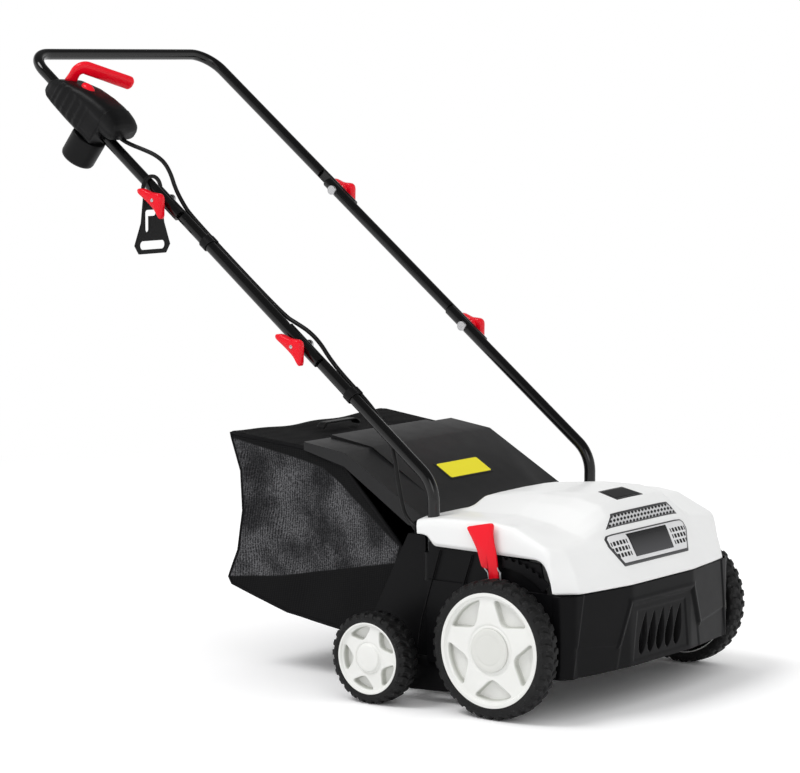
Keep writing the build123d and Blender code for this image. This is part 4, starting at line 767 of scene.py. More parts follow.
def makeShadeRing(label, side, rimRadius, inside, centre):
    # a flat black ring over the wheel's inner face: painted shade, standing in for the shaded back of the white rim
    a = np.linspace(0, 2 * pi, 96, endpoint=False)
    x = inside + np.array([2.6, 1.0, 1.0, 2.6, 2.6])
    r = np.array([12.0, 12.0, rimRadius - 1.5, rimRadius - 1.5, 12.0])
    points = turnedAbout(x[:, None], r[:, None], a, centre, side)
    closedRing(label + "_shield", points, frame["nodes"][label + "_tyre"]["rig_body"], "housingBlack", "wheel_tyre")


def rimMaterial():
    # the rim's white plastic, with painted shade, a darker greenish grey, on its windows' walls, which are also rougher
    material, tree, coords, _ = startMaterial("rimWhite")
    sunk = tree.node("ShaderNodeAttribute", {"attribute_name": "sunk"}, out="Fac")
    cloud = grain(tree, coords, 12, 3).step(0.3, 0.7)
    white = cloud.mixColour((0.84, 0.845, 0.815), (0.87, 0.875, 0.85))
    body = (sunk * 0.9).mixColour(white, (0.40, 0.41, 0.37))
    closeMaterial(tree, principled(tree, body, 0.4 + sunk * 0.1, Coat_Weight=0.1,
                                   Normal=bumped(tree, grain(tree, coords, 1500, 2), 0.05, 0.0002)))
    return material


def tyreMaterial():
    # black rubber with scattered greyer specks
    material, tree, coords, _ = startMaterial("tyreRubber")
    specks = grain(tree, coords, 420, 4).step(0.56, 0.66) * grain(tree, coords, 60, 3).step(0.45, 0.6)
    body = (specks * 0.6).mixColour((0.006, 0.006, 0.0063), (0.05, 0.05, 0.051))
    closeMaterial(tree, principled(tree, body, 0.52 + grain(tree, coords, 40, 3) * 0.14, Specular_IOR_Level=0.3,
                                   Normal=bumped(tree, grain(tree, coords, 1100, 3), 0.25, 0.0004)))
    return material


paint["rimWhite"], paint["tyreRubber"] = rimMaterial(), tyreMaterial()
for label in ("front_right", "front_left", "rear_right", "rear_left"):
    side = -1 if "right" in label else 1
    low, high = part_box(label + "_tyre")
    radius = (high.z - low.z) / 2 / mm
    inside, outside = sorted((abs(low.x) / mm, abs(high.x) / mm))
    rimLow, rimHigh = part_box(label + "_rim")
    rimRadius = (rimHigh.z - rimLow.z) / 2 / mm
    centre = (low + high) / 2
    makeTyre(label, side, radius, rimRadius, inside, outside, centre)
    makeRim(label, side, rimRadius, inside, outside, centre, wheelLook["hubFlat"][label.split("_")[0]])
    if "front" in label:
        makeCap(label, side, rimRadius, outside, centre)
    makeShadeRing(label, side, rimRadius, inside, centre)
print("wheels made")


bagLook = {
    "step": 7.0, "sagSide": 9.0, "sagTop": 6.0, "sagBack": 7.0, "ringRound": 2, "wall": 1.2,
    # side view (y, z), from the mouth's top edge over the top and back to the mouth's foot
    "outline": [(212, 208), (343, 344), (425, 368), (569, 383), (548, 322), (545, 256), (555, 190), (574, 144.5),
                (568, 134), (529, 120.5), (459, 97.5), (403, 88.5), (345, 80.5), (282, 78.5)],
    # the see-through mesh of the side, and the stiff cloth below it
    "mesh": [(246, 199), (236, 226), (387, 337), (562, 372), (569, 147), (475, 155)],
}


def bagHalfWidth(y):
    # the bag widens from its front to its rear corners
    low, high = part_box("bag_shell")
    full = high.x / mm + 0.8
    return full - 11.5 * np.clip((565 - y) / 135, 0, 1)


def evenly(points, step, closed=False):
    # a line's points respaced about a step apart, its corners kept
    p = np.array(points + [points[0]] if closed else points, float)
    lengths = np.linalg.norm(np.diff(p, axis=0), axis=1)
    v = spread(lengths, step)
    return np.stack([np.interp(v, np.arange(len(p)), p[:, k]) for k in range(p.shape[1])], 1)


def makeBag():
    # rows follow the side view's outline; columns run from one side's middle, out over its edge, across the
    # back and in to the other side's middle; every panel sags inwards between its seams and creases a little
    ring = evenly(bagLook["outline"], bagLook["step"], closed=True)[:-1]
    middle = np.array([430.0, 215.0])
    k = np.linspace(0, 1, 24)[:-1]
    s = np.linspace(-1, 1, 64)
    half = bagHalfWidth(ring[:, 0])
    yz = ring[:, None] + 0 * s[None, :, None]
    inward = middle - ring
    inward /= np.linalg.norm(inward, axis=1, keepdims=True)
    bow = (1 - s ** 2)[None, :, None]
    crease = (np.sin(s * 9.0 + 1.0)[None, :] * np.sin(ring[:, 1] * 0.045)[:, None] * 1.6)[..., None]
    top = ((ring[:, 1] > 340) & (ring[:, 0] > 345))[:, None, None]
    sag = bagLook["sagBack"] + top * (bagLook["sagTop"] - bagLook["sagBack"])
    band = yz + inward[:, None] * (bow * sag + crease * bow)
    bandX = s[None, :] * half[:, None]
    side = middle + (ring - middle)[:, None] * k[None, :, None]
    fall = 1 - k ** 2
    sideHalf = bagHalfWidth(side[..., 0])
    waves = (2.2 * np.sin(side[..., 0] * 0.052 + side[..., 1] * 0.016) * np.sin(side[..., 1] * 0.031 + 0.6)
             + 1.3 * np.sin(side[..., 0] * 0.021 - side[..., 1] * 0.083))
    fromFold = (side[..., 0] - 545 + (370 - side[..., 1]) * 0.55) / 11
    diagonal = 3.0 * np.exp(-fromFold ** 2) * (side[..., 1] > 215)
    inner = np.minimum(1, fall * 2.2)
    sideX = sideHalf - (fall * bagLook["sagSide"] + (waves + diagonal) * inner + 2.6 * inner)
    leftPart = np.concatenate([-sideX[..., None], side], 2)
    rightPart = np.concatenate([sideX[..., None], side], 2)[:, ::-1]
    across = np.concatenate([bandX[..., None], band], 2)
    grid = np.concatenate([leftPart, across, rightPart], 1)
    smoothLine(grid.swapaxes(0, 1), bagLook["ringRound"])
    rows, columns = grid.shape[:2]
    keep = np.ones((rows, columns - 1), bool)
    nextRing = np.roll(ring, -1, 0)
    centreY = (ring + nextRing) / 2
    mouth = (centreY[:, 0] < 342) & (centreY[:, 1] < 343) & ~((centreY[:, 1] < 81) & (centreY[:, 0] > 284))
    keep[np.ix_(mouth, np.arange(len(k) + 1, len(k) + len(s) - 2))] = False
    mesh = meshOf("bag_cloth", toWorld(grid), gridFaces(rows, columns, closeRows=True, keep=keep))
    cleaned(mesh)
    piece = place(mesh, "bag_cloth", "bag", paint["bagFabric"], "bag_fabric", "bag_shell")
    addModifier(piece, "SOLIDIFY", thickness=bagLook["wall"] * mm, offset=-1)
    edges = len(k)
    return grid[:, edges], grid[:, edges + len(s) - 1]


def insidePolygon(tree, y, z, corners, soften):
    # 1 inside a convex outline given as (y, z) in metres, 0 outside, soft over the given distance
    mask = None
    ring = corners + [corners[0]]
    for (y0, z0), (y1, z1) in zip(ring, ring[1:]):
        length = hypot(y1 - y0, z1 - z0)
        a, b = (z1 - z0) / length, -(y1 - y0) / length
        edge = (y * a + z * b - (a * y0 + b * z0)).step(-soften, soften)
        mask = edge if mask is None else mask * edge
    return mask


def bagMaterial():
    # woven cloth: black and dense at the top, back and base, an open greyish mesh on the two sides
    material, tree, coords, (x, y, z) = startMaterial("bagFabric")
    line = [(at(py), pz * mm) for py, pz in bagLook["mesh"]]
    top = insidePolygon(tree, y, z, line, 0.0015)
    sides = tree.math("ABSOLUTE", x).step(0.172, 0.178)
    wobble = grain(tree, coords, 9, 2)
    ribs = ((y * 1450.0 + wobble * 26.0 + z * 120.0).sine() * 0.5 + 0.5)
    cross = ((z * 2100.0 + wobble * 20.0).sine() * 0.5 + 0.5)
    pores = grain(tree, coords, 420, 4).step(0.44, 0.64)
    shadow = grain(tree, coords, 16, 3).step(0.36, 0.66)
    weave = (ribs * 0.45 + cross * 0.1 + pores * 0.65) * (0.28 + shadow * 0.9)
    meshTone = weave.min(1.0).mixColour((0.003, 0.003, 0.004), (0.13, 0.13, 0.136))
    cloth = (cross * ribs).mixColour((0.004, 0.004, 0.0045), (0.011, 0.011, 0.0115))
    mask = top * sides
    body = mask.mixColour(cloth, meshTone)
    height = (ribs + cross) * 0.5 * (0.4 + mask * 0.6) + pores * 0.4
    closeMaterial(tree, principled(tree, body, 0.85, Specular_IOR_Level=0.15, Normal=bumped(tree, height, 0.4, 0.0006)))
    return material


def sweep(name, path, profile, body, material, slot, closed=False, hides=(), make=True):
    # a closed profile of (side, up) offsets carried along a path, its frame leaning as little as it can
    p = np.asarray(path, float)
    tangent = (np.roll(p, -1, 0) - np.roll(p, 1, 0)) if closed else np.gradient(p, axis=0)
    tangent /= np.maximum(np.linalg.norm(tangent, axis=1, keepdims=True), 1e-12)
    a = np.cross(np.broadcast_to(np.array([1.0, 0, 0]), p.shape), tangent)
    a /= np.maximum(np.linalg.norm(a, axis=1, keepdims=True), 1e-12)
    b = np.cross(tangent, a)
    q = np.asarray(profile, float)
    grid = p[:, None] + a[:, None] * q[None, :, 0, None] + b[:, None] * q[None, :, 1, None]
    if not closed:
        grid = capped(grid)
    mesh = meshOf(name, grid, gridFaces(*grid.shape[:2], closeRows=closed, closeColumns=True))
    cleaned(mesh)
    return place(mesh, name, body, material, slot, hides) if make else mesh


def circle(radius, count=12):
    a = np.linspace(0, 2 * pi, count, endpoint=False)
    return np.stack([np.cos(a), np.sin(a)], 1) * radius


paint["bagFabric"] = bagMaterial()
for edge, name in zip(makeBag(), ("right", "left")):
    sweep("bag_piping_" + name, toWorld(edge), circle(2.4 * mm, 10), "bag", "bagCloth", "bag_fabric", closed=True)
print("bag made")


noseLook = {
    "plan": [(0, -127.0), (87.3, -127.0), (217.1, -108.0), (236.0, -95.0), (236.4, -80.0)],
    "low": 63.4, "high": 189.6, "lift": 0.4, "setBack": 9.0, "wall": 2.0,
    "hatTop": 161.0, "hatHalf": (87.8, 112.6), "hatFoot": 102.0, "creaseEnd": (217.0, 112.0),
    "slots": 5, "slotPitch": 25.0, "slotFoot": 79.0, "slotTop": 141.0, "slotHalf": 9.8, "slotLean": 13.0,
}


def rearrange(piece, limit, amount):
    # the vertices of a copied wall in front of a line go back, so that the modelled face can sink into it
    co = verticesOf(piece.data)
    co[:, 1] += amount * mm * smoothStep(at(limit) - co[:, 1], 0, 6 * mm)
    piece.data.vertices.foreach_set("co", co.ravel())


def flatten(piece, share):
    # the piece's height above its foot is cut to a share
    co = verticesOf(piece.data)
    co[:, 2] = co[:, 2].min() + (co[:, 2] - co[:, 2].min()) * share
    piece.data.vertices.foreach_set("co", co.ravel())


def makeNose():
    # outward height over the nose, as a function of place round it and height: a plain field, a hat-shaped
    # step that frames the louvres, a crease from the hat's foot to each side, pillars, and five leaf slots
    look = noseLook
    halfPlan = np.array(look["plan"])
    plan = np.concatenate([halfPlan[:0:-1] * (-1, 1), halfPlan])
    lengths = np.linalg.norm(np.diff(plan, axis=0), axis=1)
    v = spread(lengths, 1.5)
    line = np.stack([np.interp(v, np.arange(len(plan)), plan[:, k]) for k in (0, 1)], 1)
    smoothLine(line, 10)
    along = np.gradient(line, axis=0)
    outward = np.stack([along[:, 1], -along[:, 0]], 1) / np.linalg.norm(along, axis=1, keepdims=True)
    z = np.arange(look["low"], look["high"] + 0.1, 1.6)
    acrossX, upZ = line[:, 0][:, None] + 0 * z, z[None, :] + 0 * line[:, :1]
    a = abs(acrossX)
    hatHalf = np.interp(upZ, [look["low"], look["hatFoot"], look["hatTop"]],
                        [look["hatHalf"][1] + 9, look["hatHalf"][1], look["hatHalf"][0]])
    inHat = np.minimum(hatHalf - a, look["hatTop"] - upZ)
    hat = smoothStep(inHat, -1.0, 6.0)
    creaseZ = np.interp(a, [look["hatHalf"][1], look["creaseEnd"][0]], [look["hatFoot"], look["creaseEnd"][1]])
    below = smoothStep(creaseZ - upZ, -1.0, 4.5) * (1 - hat) * smoothStep(look["creaseEnd"][0] - a, -4, 10)
    pillar = smoothStep(a - np.interp(upZ, [68, 185], [217, 197]), -1.0, 2.5)
    panelHalf = np.interp(upZ, [76, 147], [79, 69])
    panel = smoothStep(np.minimum(np.minimum(panelHalf - a, 147 - upZ), upZ - 70), -1, 3)
    lip = np.exp(-((inHat + 4.0) / 3.2) ** 2) * (upZ > look["hatFoot"] - 6)
    height = (look["lift"] - 1.6 - 3.0 * hat - 1.8 * below + 1.6 * pillar - 1.2 * panel + 1.5 * lip)
    t = np.clip((upZ - look["slotFoot"]) / (look["slotTop"] - look["slotFoot"]), 0, 1)
    slots = np.zeros_like(acrossX)
    for i in range(look["slots"]):
        middle = (i - (look["slots"] - 1) / 2) * look["slotPitch"] - look["slotLean"] * (0.5 - t)
        half = look["slotHalf"] * np.sin(pi * t ** 0.62)
        slots = np.maximum(slots, smoothStep(half - abs(acrossX - middle), -0.2, 1.8))
    height -= 7.0 * slots
    points = np.stack([acrossX + outward[:, :1] * height, line[:, 1:] + outward[:, 1:] * height, upZ], 2)
    mesh = meshOf("nose_face", toWorld(points), gridFaces(*acrossX.shape))
    # painted shade down in the louvre slots
    mesh.attributes.new("sunk", "FLOAT", "POINT").data.foreach_set("value", slots.ravel().astype(np.float32))
    if mesh.polygons[len(mesh.polygons) // 2].normal.y > 0:
        mesh.flip_normals()
    piece = place(mesh, "nose_face", "chassis", paint["noseBlack"], "housing_black")
    addModifier(piece, "SOLIDIFY", thickness=look["wall"] * mm, offset=-1)


def noseMaterial():
    # the housing's black plastic, with painted shade, near black, down in the louvres, which are rougher too
    material, tree, coords, _ = startMaterial("noseBlack")
    sunk = tree.node("ShaderNodeAttribute", {"attribute_name": "sunk"}, out="Fac")
    cloud = grain(tree, coords, 9, 3).step(0.3, 0.7)
    black = cloud.mixColour((0.003, 0.003, 0.0034), (0.0042, 0.0042, 0.0048))
    rough = 0.36 + (grain(tree, coords, 35, 3) - 0.5) * 0.1 + sunk * 0.4
    closeMaterial(tree, principled(tree, sunk.mixColour(black, (0.001, 0.001, 0.001)), rough, Specular_IOR_Level=0.09,
                                   Normal=bumped(tree, grain(tree, coords, 1400, 3), 0.2, 0.0002)))
    return material


paint["noseBlack"] = noseMaterial()
housing = dressed("lower_housing", "housingBlack", "housing_black", bevel=1.4)
rearrange(housing, -88, noseLook["setBack"])
makeNose()
for side, name in ((-1, "right"), (1, "left")):
    for i, seam in enumerate((((126, 237), (160, 127), (170, 70)), ((66, 236), (81, 191), (92, 150)))):
        path = evenly([(side * 236.0, y, z) for y, z in seam], 8)
        sweep(f"side_seam_{name}_{i + 1}", toWorld(path), circle(1.3 * mm, 8), "chassis", "noseBlack", "housing_black")
print("housing made")

dressed("rear_flap", "flapBlack", "housing_black", bevel=2.2, segments=3)
labelLook = {"x": (-35.0, 75.0), "y": (250.0, 281.0), "lift": 0.9, "edgeX": (-39, 79), "edgeY": (247.5, 284.5),
             "edgeLift": 0.5, "start": (207.0, 289.0), "end": (338.0, 367.4), "corner": 3.0}


def flatLabel(name, xs, ys, lift, material):
    # a thin plate with round corners that lies on the flap's raised middle
    (y0, z0), (y1, z1) = labelLook["start"], labelLook["end"]
    slope = (z1 - z0) / (y1 - y0)
    k, (xa, xb), (ya, yb) = labelLook["corner"], xs, ys
    a = np.linspace(0, 2 * pi, 48, endpoint=False) + pi / 96
    cx = np.where(np.cos(a) > 0, xb - k, xa + k) + k * np.cos(a)
    cy = np.where(np.sin(a) > 0, yb - k, ya + k) + k * np.sin(a)
    tilt = np.array([0, -slope, 1]) / hypot(1, slope)
    ring = np.stack([cx, cy, z0 + (cy - y0) * slope], 1)
    rows = np.stack([ring - tilt * 0.3, ring + tilt * (lift - 0.2), ring + tilt * lift,
                     (ring - ring.mean(0)) * 0.985 + ring.mean(0) + tilt * lift])
    rows = np.concatenate([rows, np.broadcast_to(ring.mean(0) + tilt * lift, (1,) + ring.shape)])
    mesh = cleaned(meshOf(name, toWorld(rows), gridFaces(*rows.shape[:2], closeColumns=True)), outward=False)
    if mesh.polygons[-1].normal.z < 0:
        mesh.flip_normals()
    place(mesh, name, "flap", material, "housing_black", smooth=False)


skirt = [(70, 70), (84, 30), (100, 19.5), (186, 15.5), (204, 22), (210, 70)]
for side, name in ((-1, "right"), (1, "left")):
    # a side skirt shields the tines between the wheels
    outline = np.array(evenly(skirt, 4, closed=True)[:-1])
    middle = outline.mean(0)
    rings = [np.concatenate([np.full((len(outline), 1), side * x), middle + (outline - middle) * share], 1)
             for x, share in ((228.5, 0.0), (228.5, 0.98), (229.3, 1.0), (231.2, 1.0), (232.0, 0.98), (232.0, 0.0))]
    closedRing("side_skirt_" + name, toWorld(np.stack(rings)), "chassis", "housingBlack", "housing_black")
flatLabel("flap_label_edge", labelLook["edgeX"], labelLook["edgeY"], labelLook["edgeLift"], "labelDark")
flatLabel("flap_label", labelLook["x"], labelLook["y"], labelLook["lift"], "labelYellow")
print("flap made")


handle = {"angle": 38.2, "lowerFold": (403.5, 531.9), "upperFold": (683.5, 752.24), "crossbar": (979.85, 985.44)}
alongY, alongZ = cos(radians(handle["angle"])), sin(radians(handle["angle"]))


def onHandle(x, fold, s, n):
    y, z = handle[fold]
    return (x, y + s * alongY - n * alongZ, z + s * alongZ + n * alongY)


cableLook = {"radius": 3.5, "sides": 14}
cableRoute = [
    onHandle(-221.0, "crossbar", -226, 14.5), onHandle(-221.0, "upperFold", 136, 14.5),
    onHandle(-221.0, "upperFold", 114, 21), onHandle(-219.0, "upperFold", 90, 30.5),
    onHandle(-217.0, "upperFold", 66, 39), onHandle(-215.0, "upperFold", 44, 41),
    onHandle(-212.0, "upperFold", 24, 33), onHandle(-210.0, "upperFold", 5, 20),
    onHandle(-208.0, "upperFold", -20, 10), onHandle(-208.4, "upperFold", -50, 4.4),
    onHandle(-208.4, "lowerFold", 66, 4.4), onHandle(-207.4, "lowerFold", 37, 11.8),
    onHandle(-206.4, "lowerFold", 11, 17.5), onHandle(-205.4, "lowerFold", -16, 17),
    onHandle(-204.5, "lowerFold", -44, 10), onHandle(-204.5, "lowerFold", -80, 6.6),
    onHandle(-204.5, "lowerFold", -151, 6.2), (-203.2, 257, 413), (-206, 240, 389), (-210, 230, 361),
    (-214, 222, 333), (-218, 213, 307), (-222, 204, 286), (-225, 192.5, 273.5), (-227, 180, 267),
]
# each stretch: CAD node, the bodies it rides on or bends between, and where along the handle it starts
cableStretches = [
    ("cable_upper", ("upper_handle",), None),
    ("cable_fold_upper", ("upper_handle", "middle_handle"), onHandle(-216, "upperFold", 55, 40)),
    ("cable_middle", ("middle_handle",), onHandle(-208.4, "upperFold", -86, 4.4)),
    ("cable_fold_lower", ("middle_handle", "chassis"), onHandle(-208.4, "lowerFold", 98, 4.4)),
    ("cable_lower", ("chassis",), onHandle(-204.5, "lowerFold", -62, 8.3)),
]


def splinePoints(points):
    # the smooth line of a NURBS spline whose control points are the route's
    curve = bpy.data.curves.new("cable_line", "CURVE")
    curve.dimensions = "3D"
    curve.resolution_u = 16
    spline = curve.splines.new("NURBS")
    spline.points.add(len(points) - 1)
    spline.points.foreach_set("co", np.concatenate([points, np.ones((len(points), 1))], 1).ravel())
    spline.order_u = 3
    spline.use_endpoint_u = True
    holder = bpy.data.objects.new("cable_line", curve)
    line = bpy.data.meshes.new_from_object(holder)
    co = verticesOf(line)
    bpy.data.objects.remove(holder)
    bpy.data.meshes.remove(line)
    bpy.data.curves.remove(curve)
    return co


cableLine = splinePoints(toWorld(cableRoute))
starts = [0] + [int(np.argmin(np.linalg.norm(cableLine - toWorld(p), axis=1))) for _, _, p in cableStretches[1:]]
for (node, bodies, _), first, last in zip(cableStretches, starts, starts[1:] + [len(cableLine) - 1]):
    path = cableLine[first:last + 1]
    path = path[np.concatenate([[True], np.linalg.norm(np.diff(path, axis=0), axis=1) > 1e-6])]
    ring = circle(cableLook["radius"] * mm, cableLook["sides"])
    if len(bodies) == 1:
        sweep(node + "_skin", path, ring, bodies[0], "cableRubber", "cable_black", hides=node)
    else:
        mesh = sweep(node + "_skin", path, ring, None, None, None, make=False)
        mesh.materials.append(paint["cableRubber"])
        mesh.shade_smooth()
        piece = addObject(node + "_skin", mesh)
        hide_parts(node)
        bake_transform(piece, *bodies, start=tuple(path[0]), end=tuple(path[-1]))
print("cable made")


podLook = {
    "x": -229.0, "groove": 0.8, "power": 0.55,
    # along the tube from the crossbar: half width, underside and top above the tube's centre line
    "stations": [(-78, 14, -8, 6), (-80, 24, -13, 11), (-92, 29, -18, 20), (-108, 31.5, -19.5, 31),
                 (-148, 33, -21, 46), (-180, 33, -21, 52.5), (-205, 33, -21, 55), (-213, 32.5, -20.5, 55),
                 (-215, 32, 10, 54.5), (-232, 31.5, 11, 52), (-243, 30.5, 14, 47), (-248, 26, 19, 42)],
    "ribs": (-104, -186, 16.4, 2.6),
}


def padPoint(x, s, n):
    y, z = handle["crossbar"]
    return np.stack([x + 0 * s, y + s * alongY - n * alongZ, z + s * alongZ + n * alongY], -1)


def squared(value, power):
    # a cosine or sine swelled towards a square, its sign kept
    return np.sign(value) * abs(value) ** power


def makePod():
    # a rounded box whose section is a superellipse, lofted along the tube, with ribs down its outer side
    # and a groove where its two halves meet
    rows = evenly(podLook["stations"], 2.2)
    smoothLine(rows, 2)
    s, half, low, high = (rows[:, k][:, None] for k in range(4))
    a = np.linspace(0, 2 * pi, 96, endpoint=False)[None, :]
    c, d = np.cos(a), np.sin(a)
    power = podLook["power"]
    x = half * squared(c, power)
    n = (high + low) / 2 + (high - low) / 2 * squared(d, power)
    start, end, pitch, depth = podLook["ribs"]
    ribs = smoothStep(start - s, 0, 6) * smoothStep(s - end, 0, 6) * (0.5 + 0.5 * np.cos((s - start) * 2 * pi / pitch))
    outer = smoothStep(-c, 0.55, 0.9) * smoothStep(np.minimum(n + 14, 34 - n), 0, 8)
    x = x + depth * (ribs - 1) * outer * np.sign(c)
    x = x - np.sign(c) * podLook["groove"] * np.exp(-((n - 0.2) / 1.0) ** 2) * (s > -214)
    grid = capped(padPoint(podLook["x"] + x, s + 0 * a, n))
    closedRing("switch_pod", toWorld(grid), "upper_handle", "gripBlack", "switch_plastic",
               ("switch_cover", "switch_base"))


bailLook = {"pivot": (-234.0, -106.0), "turn": -30, "reach": 95.0, "section": (7.6, 11.2), "power": 0.75}
buttonLook = {"middle": (-237.0, -147.0, 43.0), "radii": (9.5, 14.5, 8.0)}
inletLook = {"middle": (-231.0, -192.0),
             "section": [(0.01, -21), (29, -19), (29.4, -24), (29, -62), (28, -65), (26.6, -65), (26, -63), (26, -23),
                         (0.01, -23)]}


def makeBail():
    # a rounded bar: up from its pivot, over a bend, and along the grip, its end closed by a dome
    pivot, turn, reach = bailLook["pivot"], radians(bailLook["turn"]), bailLook["reach"]
    t = np.linspace(0, 1, 24)
    bend = np.stack([14 * (1 - np.cos(t * pi / 2)), 44 + 16 * np.sin(t * pi / 2)], 1)
    line = np.concatenate([[(0, 26), (0, 34), (0, 40)], bend, [(30, 60), (50, 60), (70, 60), (reach - 3, 60)]])
    tail = np.linspace(0, 1, 9)[1:]
    line = np.concatenate([line, np.stack([reach - 3 + 8 * np.sin(tail * pi / 2), 60 + 0 * tail], 1)])
    path = padPoint(pivot[0] + line[:, 0] * cos(turn), pivot[1] + line[:, 0] * sin(turn), line[:, 1])
    scale = np.concatenate([[0.9, 0.82, 0.78], np.linspace(0.78, 1.0, 24), [1, 1, 1.02, 1.02],
                            1.02 * np.cos(tail * pi / 2) + 0.001])
    a = np.linspace(0, 2 * pi, 28, endpoint=False)
    ring = np.stack([size * squared(wave, bailLook["power"])
                     for size, wave in zip(bailLook["section"], (np.cos(a), np.sin(a)))], 1)
    p = toWorld(path)
    tangent = np.gradient(p, axis=0)
    tangent /= np.linalg.norm(tangent, axis=1, keepdims=True)
    flat = np.array([sin(turn), -cos(turn) * alongY, -cos(turn) * alongZ])
    across = np.broadcast_to(flat / np.linalg.norm(flat), p.shape)
    up = np.cross(tangent, across)
    grid = (p[:, None] + across[:, None] * (ring[None, :, 0, None] * scale[:, None, None] * mm)
            + up[:, None] * (ring[None, :, 1, None] * scale[:, None, None] * mm))
    closedRing("bail_bar", capped(grid, closeEnd=False), "bail", "redGloss", "trim_red", "bail_lever")


def makeButton():
    # the top of an ellipsoid that stands out of the box's cover
    a = np.linspace(0, 2 * pi, 40, endpoint=False)[None, :]
    b = np.linspace(0, pi, 22)[:, None]
    (x0, s0, n0), (xr, sr, nr) = buttonLook["middle"], buttonLook["radii"]
    x = x0 + xr * np.sin(b) * np.cos(a)
    s = s0 + sr * np.sin(b) * np.sin(a)
    n = n0 + nr * np.cos(b) + 0 * a
    closedRing("button_dome", toWorld(padPoint(x, s, n)), "safety_button", "redGloss", "trim_red", "lock_button")


def makeInlet():
    # a round shroud under the box, thick-walled and open below: a section turned about the box's own upright
    section = evenly(inletLook["section"], 2.5)
    a = np.linspace(0, 2 * pi, 72, endpoint=False)[None, :]
    r, n = section[:, :1], section[:, 1:]
    x, s = inletLook["middle"]
    grid = padPoint(x + r * np.cos(a), s + r * np.sin(a), n + 0 * a)
    closedRing("inlet_shroud", toWorld(grid), "upper_handle", "gripBlack", "switch_plastic")


wingOutline = [(38, -7), (30, 0), (13, 5), (2, 13), (-5, 17), (-11, 14.5), (-20, 2), (-31, -12), (-30, -16.5),
               (-19, -12), (-9, -10), (6, -10), (20, -10.5), (35, -12)]

wingLayers = [(0.30, 0.0), (0.30, 0.82), (0.38, 0.95), (0.46, 1.0), (0.86, 1.0), (0.94, 0.95), (1.0, 0.82), (1.0, 0.0)]
# turned parts of a knob: (share of its depth, radius) rows, count round, finish and slot
knobTurned = {
    "hub": ([(0.0, 0.01), (0.0, 9.0), (0.34, 9.0), (0.34, 0.01)], 32, "redGloss", "trim_red"),
    "tip": ([(0.9, 0.01), (0.9, 3.4), (1.02, 3.2), (1.08, 2.2), (1.1, 0.01)], 24, "zincSteel", "axle_steel"),
}


def makeWingKnob(label, fold, side, body):
    # a wing with uneven ends on a round hub, both cut from plates with rounded edges
    low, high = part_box(label)
    x0, x1 = sorted((abs(low.x), abs(high.x)))
    y, z = handle[fold]
    rings = []
    outline = smoothLoop(evenly(wingOutline, 3.0, closed=True)[:-1], 3)
    for share, scale in wingLayers:
        x = side * (x0 + (x1 - x0) * share)
        s, n = outline[:, 0] * scale, outline[:, 1] * scale
        rings.append(np.stack([x + 0 * s, at(y) + (s * alongY - n * alongZ) * mm,
                               (z + s * alongZ + n * alongY) * mm], 1))
    closedRing(label + "_wing", np.stack(rings), body, "redGloss", "trim_red", label)
    for part, (profile, count, finish, slot) in knobTurned.items():
        share, radius = np.array(profile).T[:, :, None]
        a = np.linspace(0, 2 * pi, count, endpoint=False)
        points = turnedAbout((x0 + (x1 - x0) * share) / mm, radius, a, Vector((0, at(y), z * mm)), side)
        closedRing(f"{label}_{part}", points, body, finish, slot)


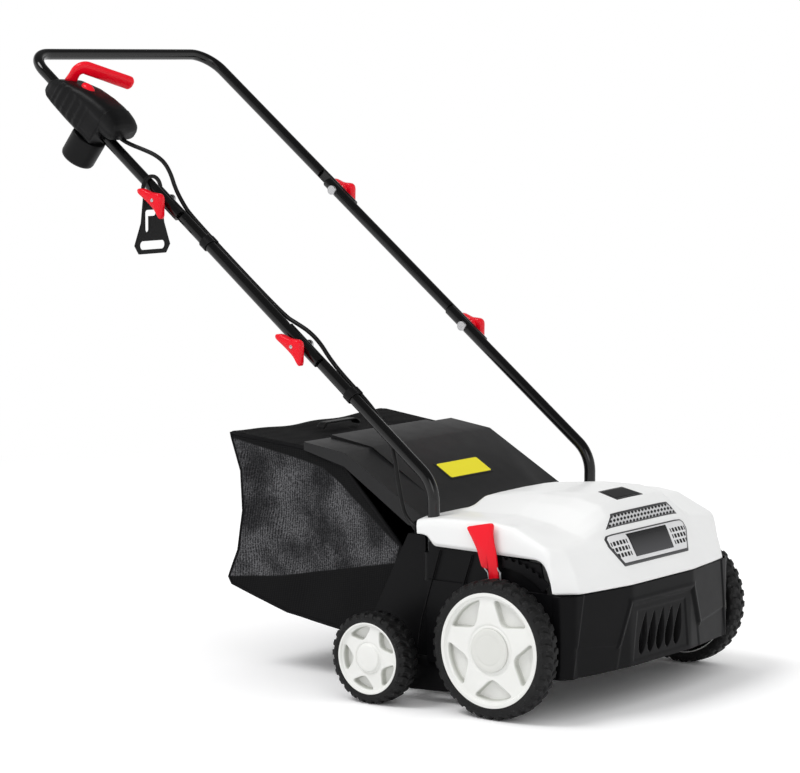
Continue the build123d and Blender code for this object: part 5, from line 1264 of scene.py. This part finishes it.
leverLook = {
    # outline from the top corner forward and round, as (y, z), and the two spring wires beside its neck
    "outline": [(62, 281), (64.5, 280.8), (66, 278), (64, 274.5), (57, 264), (50.5, 253), (46, 244), (42.5, 232.5),
                (38.5, 221.5), (34, 220.2), (27, 219.6), (25.5, 214), (24.5, 190), (8.5, 190), (8.5, 214), (9.5, 220.5),
                (10.5, 224.5), (10.3, 229), (13.2, 245), (17, 260), (18.7, 275), (17.3, 285.5), (19, 288.6),
                (22.5, 289.4)],
    "wires": [[(36, 223), (32, 218.6), (27.5, 214.5), (25.8, 207), (25.8, 198)],
              [(13, 226.5), (8.6, 219.5), (5.0, 215.5), (5.2, 207), (5.4, 198)]],
    "layers": [(-244.1, 0.0), (-244.1, 0.93), (-244.5, 0.98), (-245.2, 1.0), (-247.2, 1.0), (-247.9, 0.98),
               (-248.3, 0.93), (-248.3, 0.0)], "back": 2.0,
    # the steel arm's shift forward and down, and the heights between which it grows
    "armShift": (18.5, 12), "armFrom": 150, "armTo": 200,
}


def makeLever():
    # a flared grip with a thin neck, cut from a plate with rounded edges, and two bent wires; the steel arm
    # behind it stands upright under the neck
    outline = smoothLoop(evenly(leverLook["outline"], 2.0, closed=True)[:-1], 2)
    along = np.roll(outline, -1, 0) - np.roll(outline, 1, 0)
    inward = np.stack([-along[:, 1], along[:, 0]], 1) / np.linalg.norm(along, axis=1, keepdims=True)
    inward *= np.sign((inward * (outline.mean(0) - outline)).sum())
    rings = []
    for x, share in leverLook["layers"]:
        flat = outline + inward * (1 - share) * 14 if share else outline * 0 + outline.mean(0)
        rings.append(np.stack([x + 0 * flat[:, 0], flat[:, 0] + leverLook["back"], flat[:, 1]], 1))
    closedRing("lever_grip", toWorld(np.stack(rings)), "depth_crank", "redGloss", "trim_red", "depth_lever")
    for i, wire in enumerate(leverLook["wires"]):
        path = evenly([(-246.5, y + leverLook["back"], z) for y, z in wire], 2)
        sweep(f"lever_wire_{i + 1}", toWorld(path), circle(1.2 * mm, 8), "depth_crank", "zincSteel", "axle_steel")
    arm = dressed("front_axle", "zincSteel", "axle_steel", bevel=0.5)
    co = verticesOf(arm.data)
    for axis, shift in zip((1, 2), leverLook["armShift"]):
        co[:, axis] -= shift * mm * smoothStep(co[:, 2], leverLook["armFrom"] * mm, leverLook["armTo"] * mm)
    arm.data.vertices.foreach_set("co", co.ravel())


makePod()
makeInlet()
makeBail()
makeButton()
for side, name in ((-1, "right"), (1, "left")):
    short = name[0]
    makeWingKnob("upper_knob_" + name, "upperFold", side, "upper_knob_" + short)
    makeWingKnob("lower_knob_" + name, "lowerFold", side, "lower_knob_" + short)
makeLever()
for node, bevel in (("cord_hook", 0.9), ("cable_clip_upper", 0.8), ("cable_clip_lower", 0.8)):
    dressed(node, "gripBlack", "grip_black", bevel=bevel)
flatten(dressed("bag_handle", "gripBlack", "bag_strap", bevel=1.2), 0.5)
dressed("notch_quadrant", "housingBlack", "axle_steel", bevel=0.8)
print("fittings made")

print("scene finished")
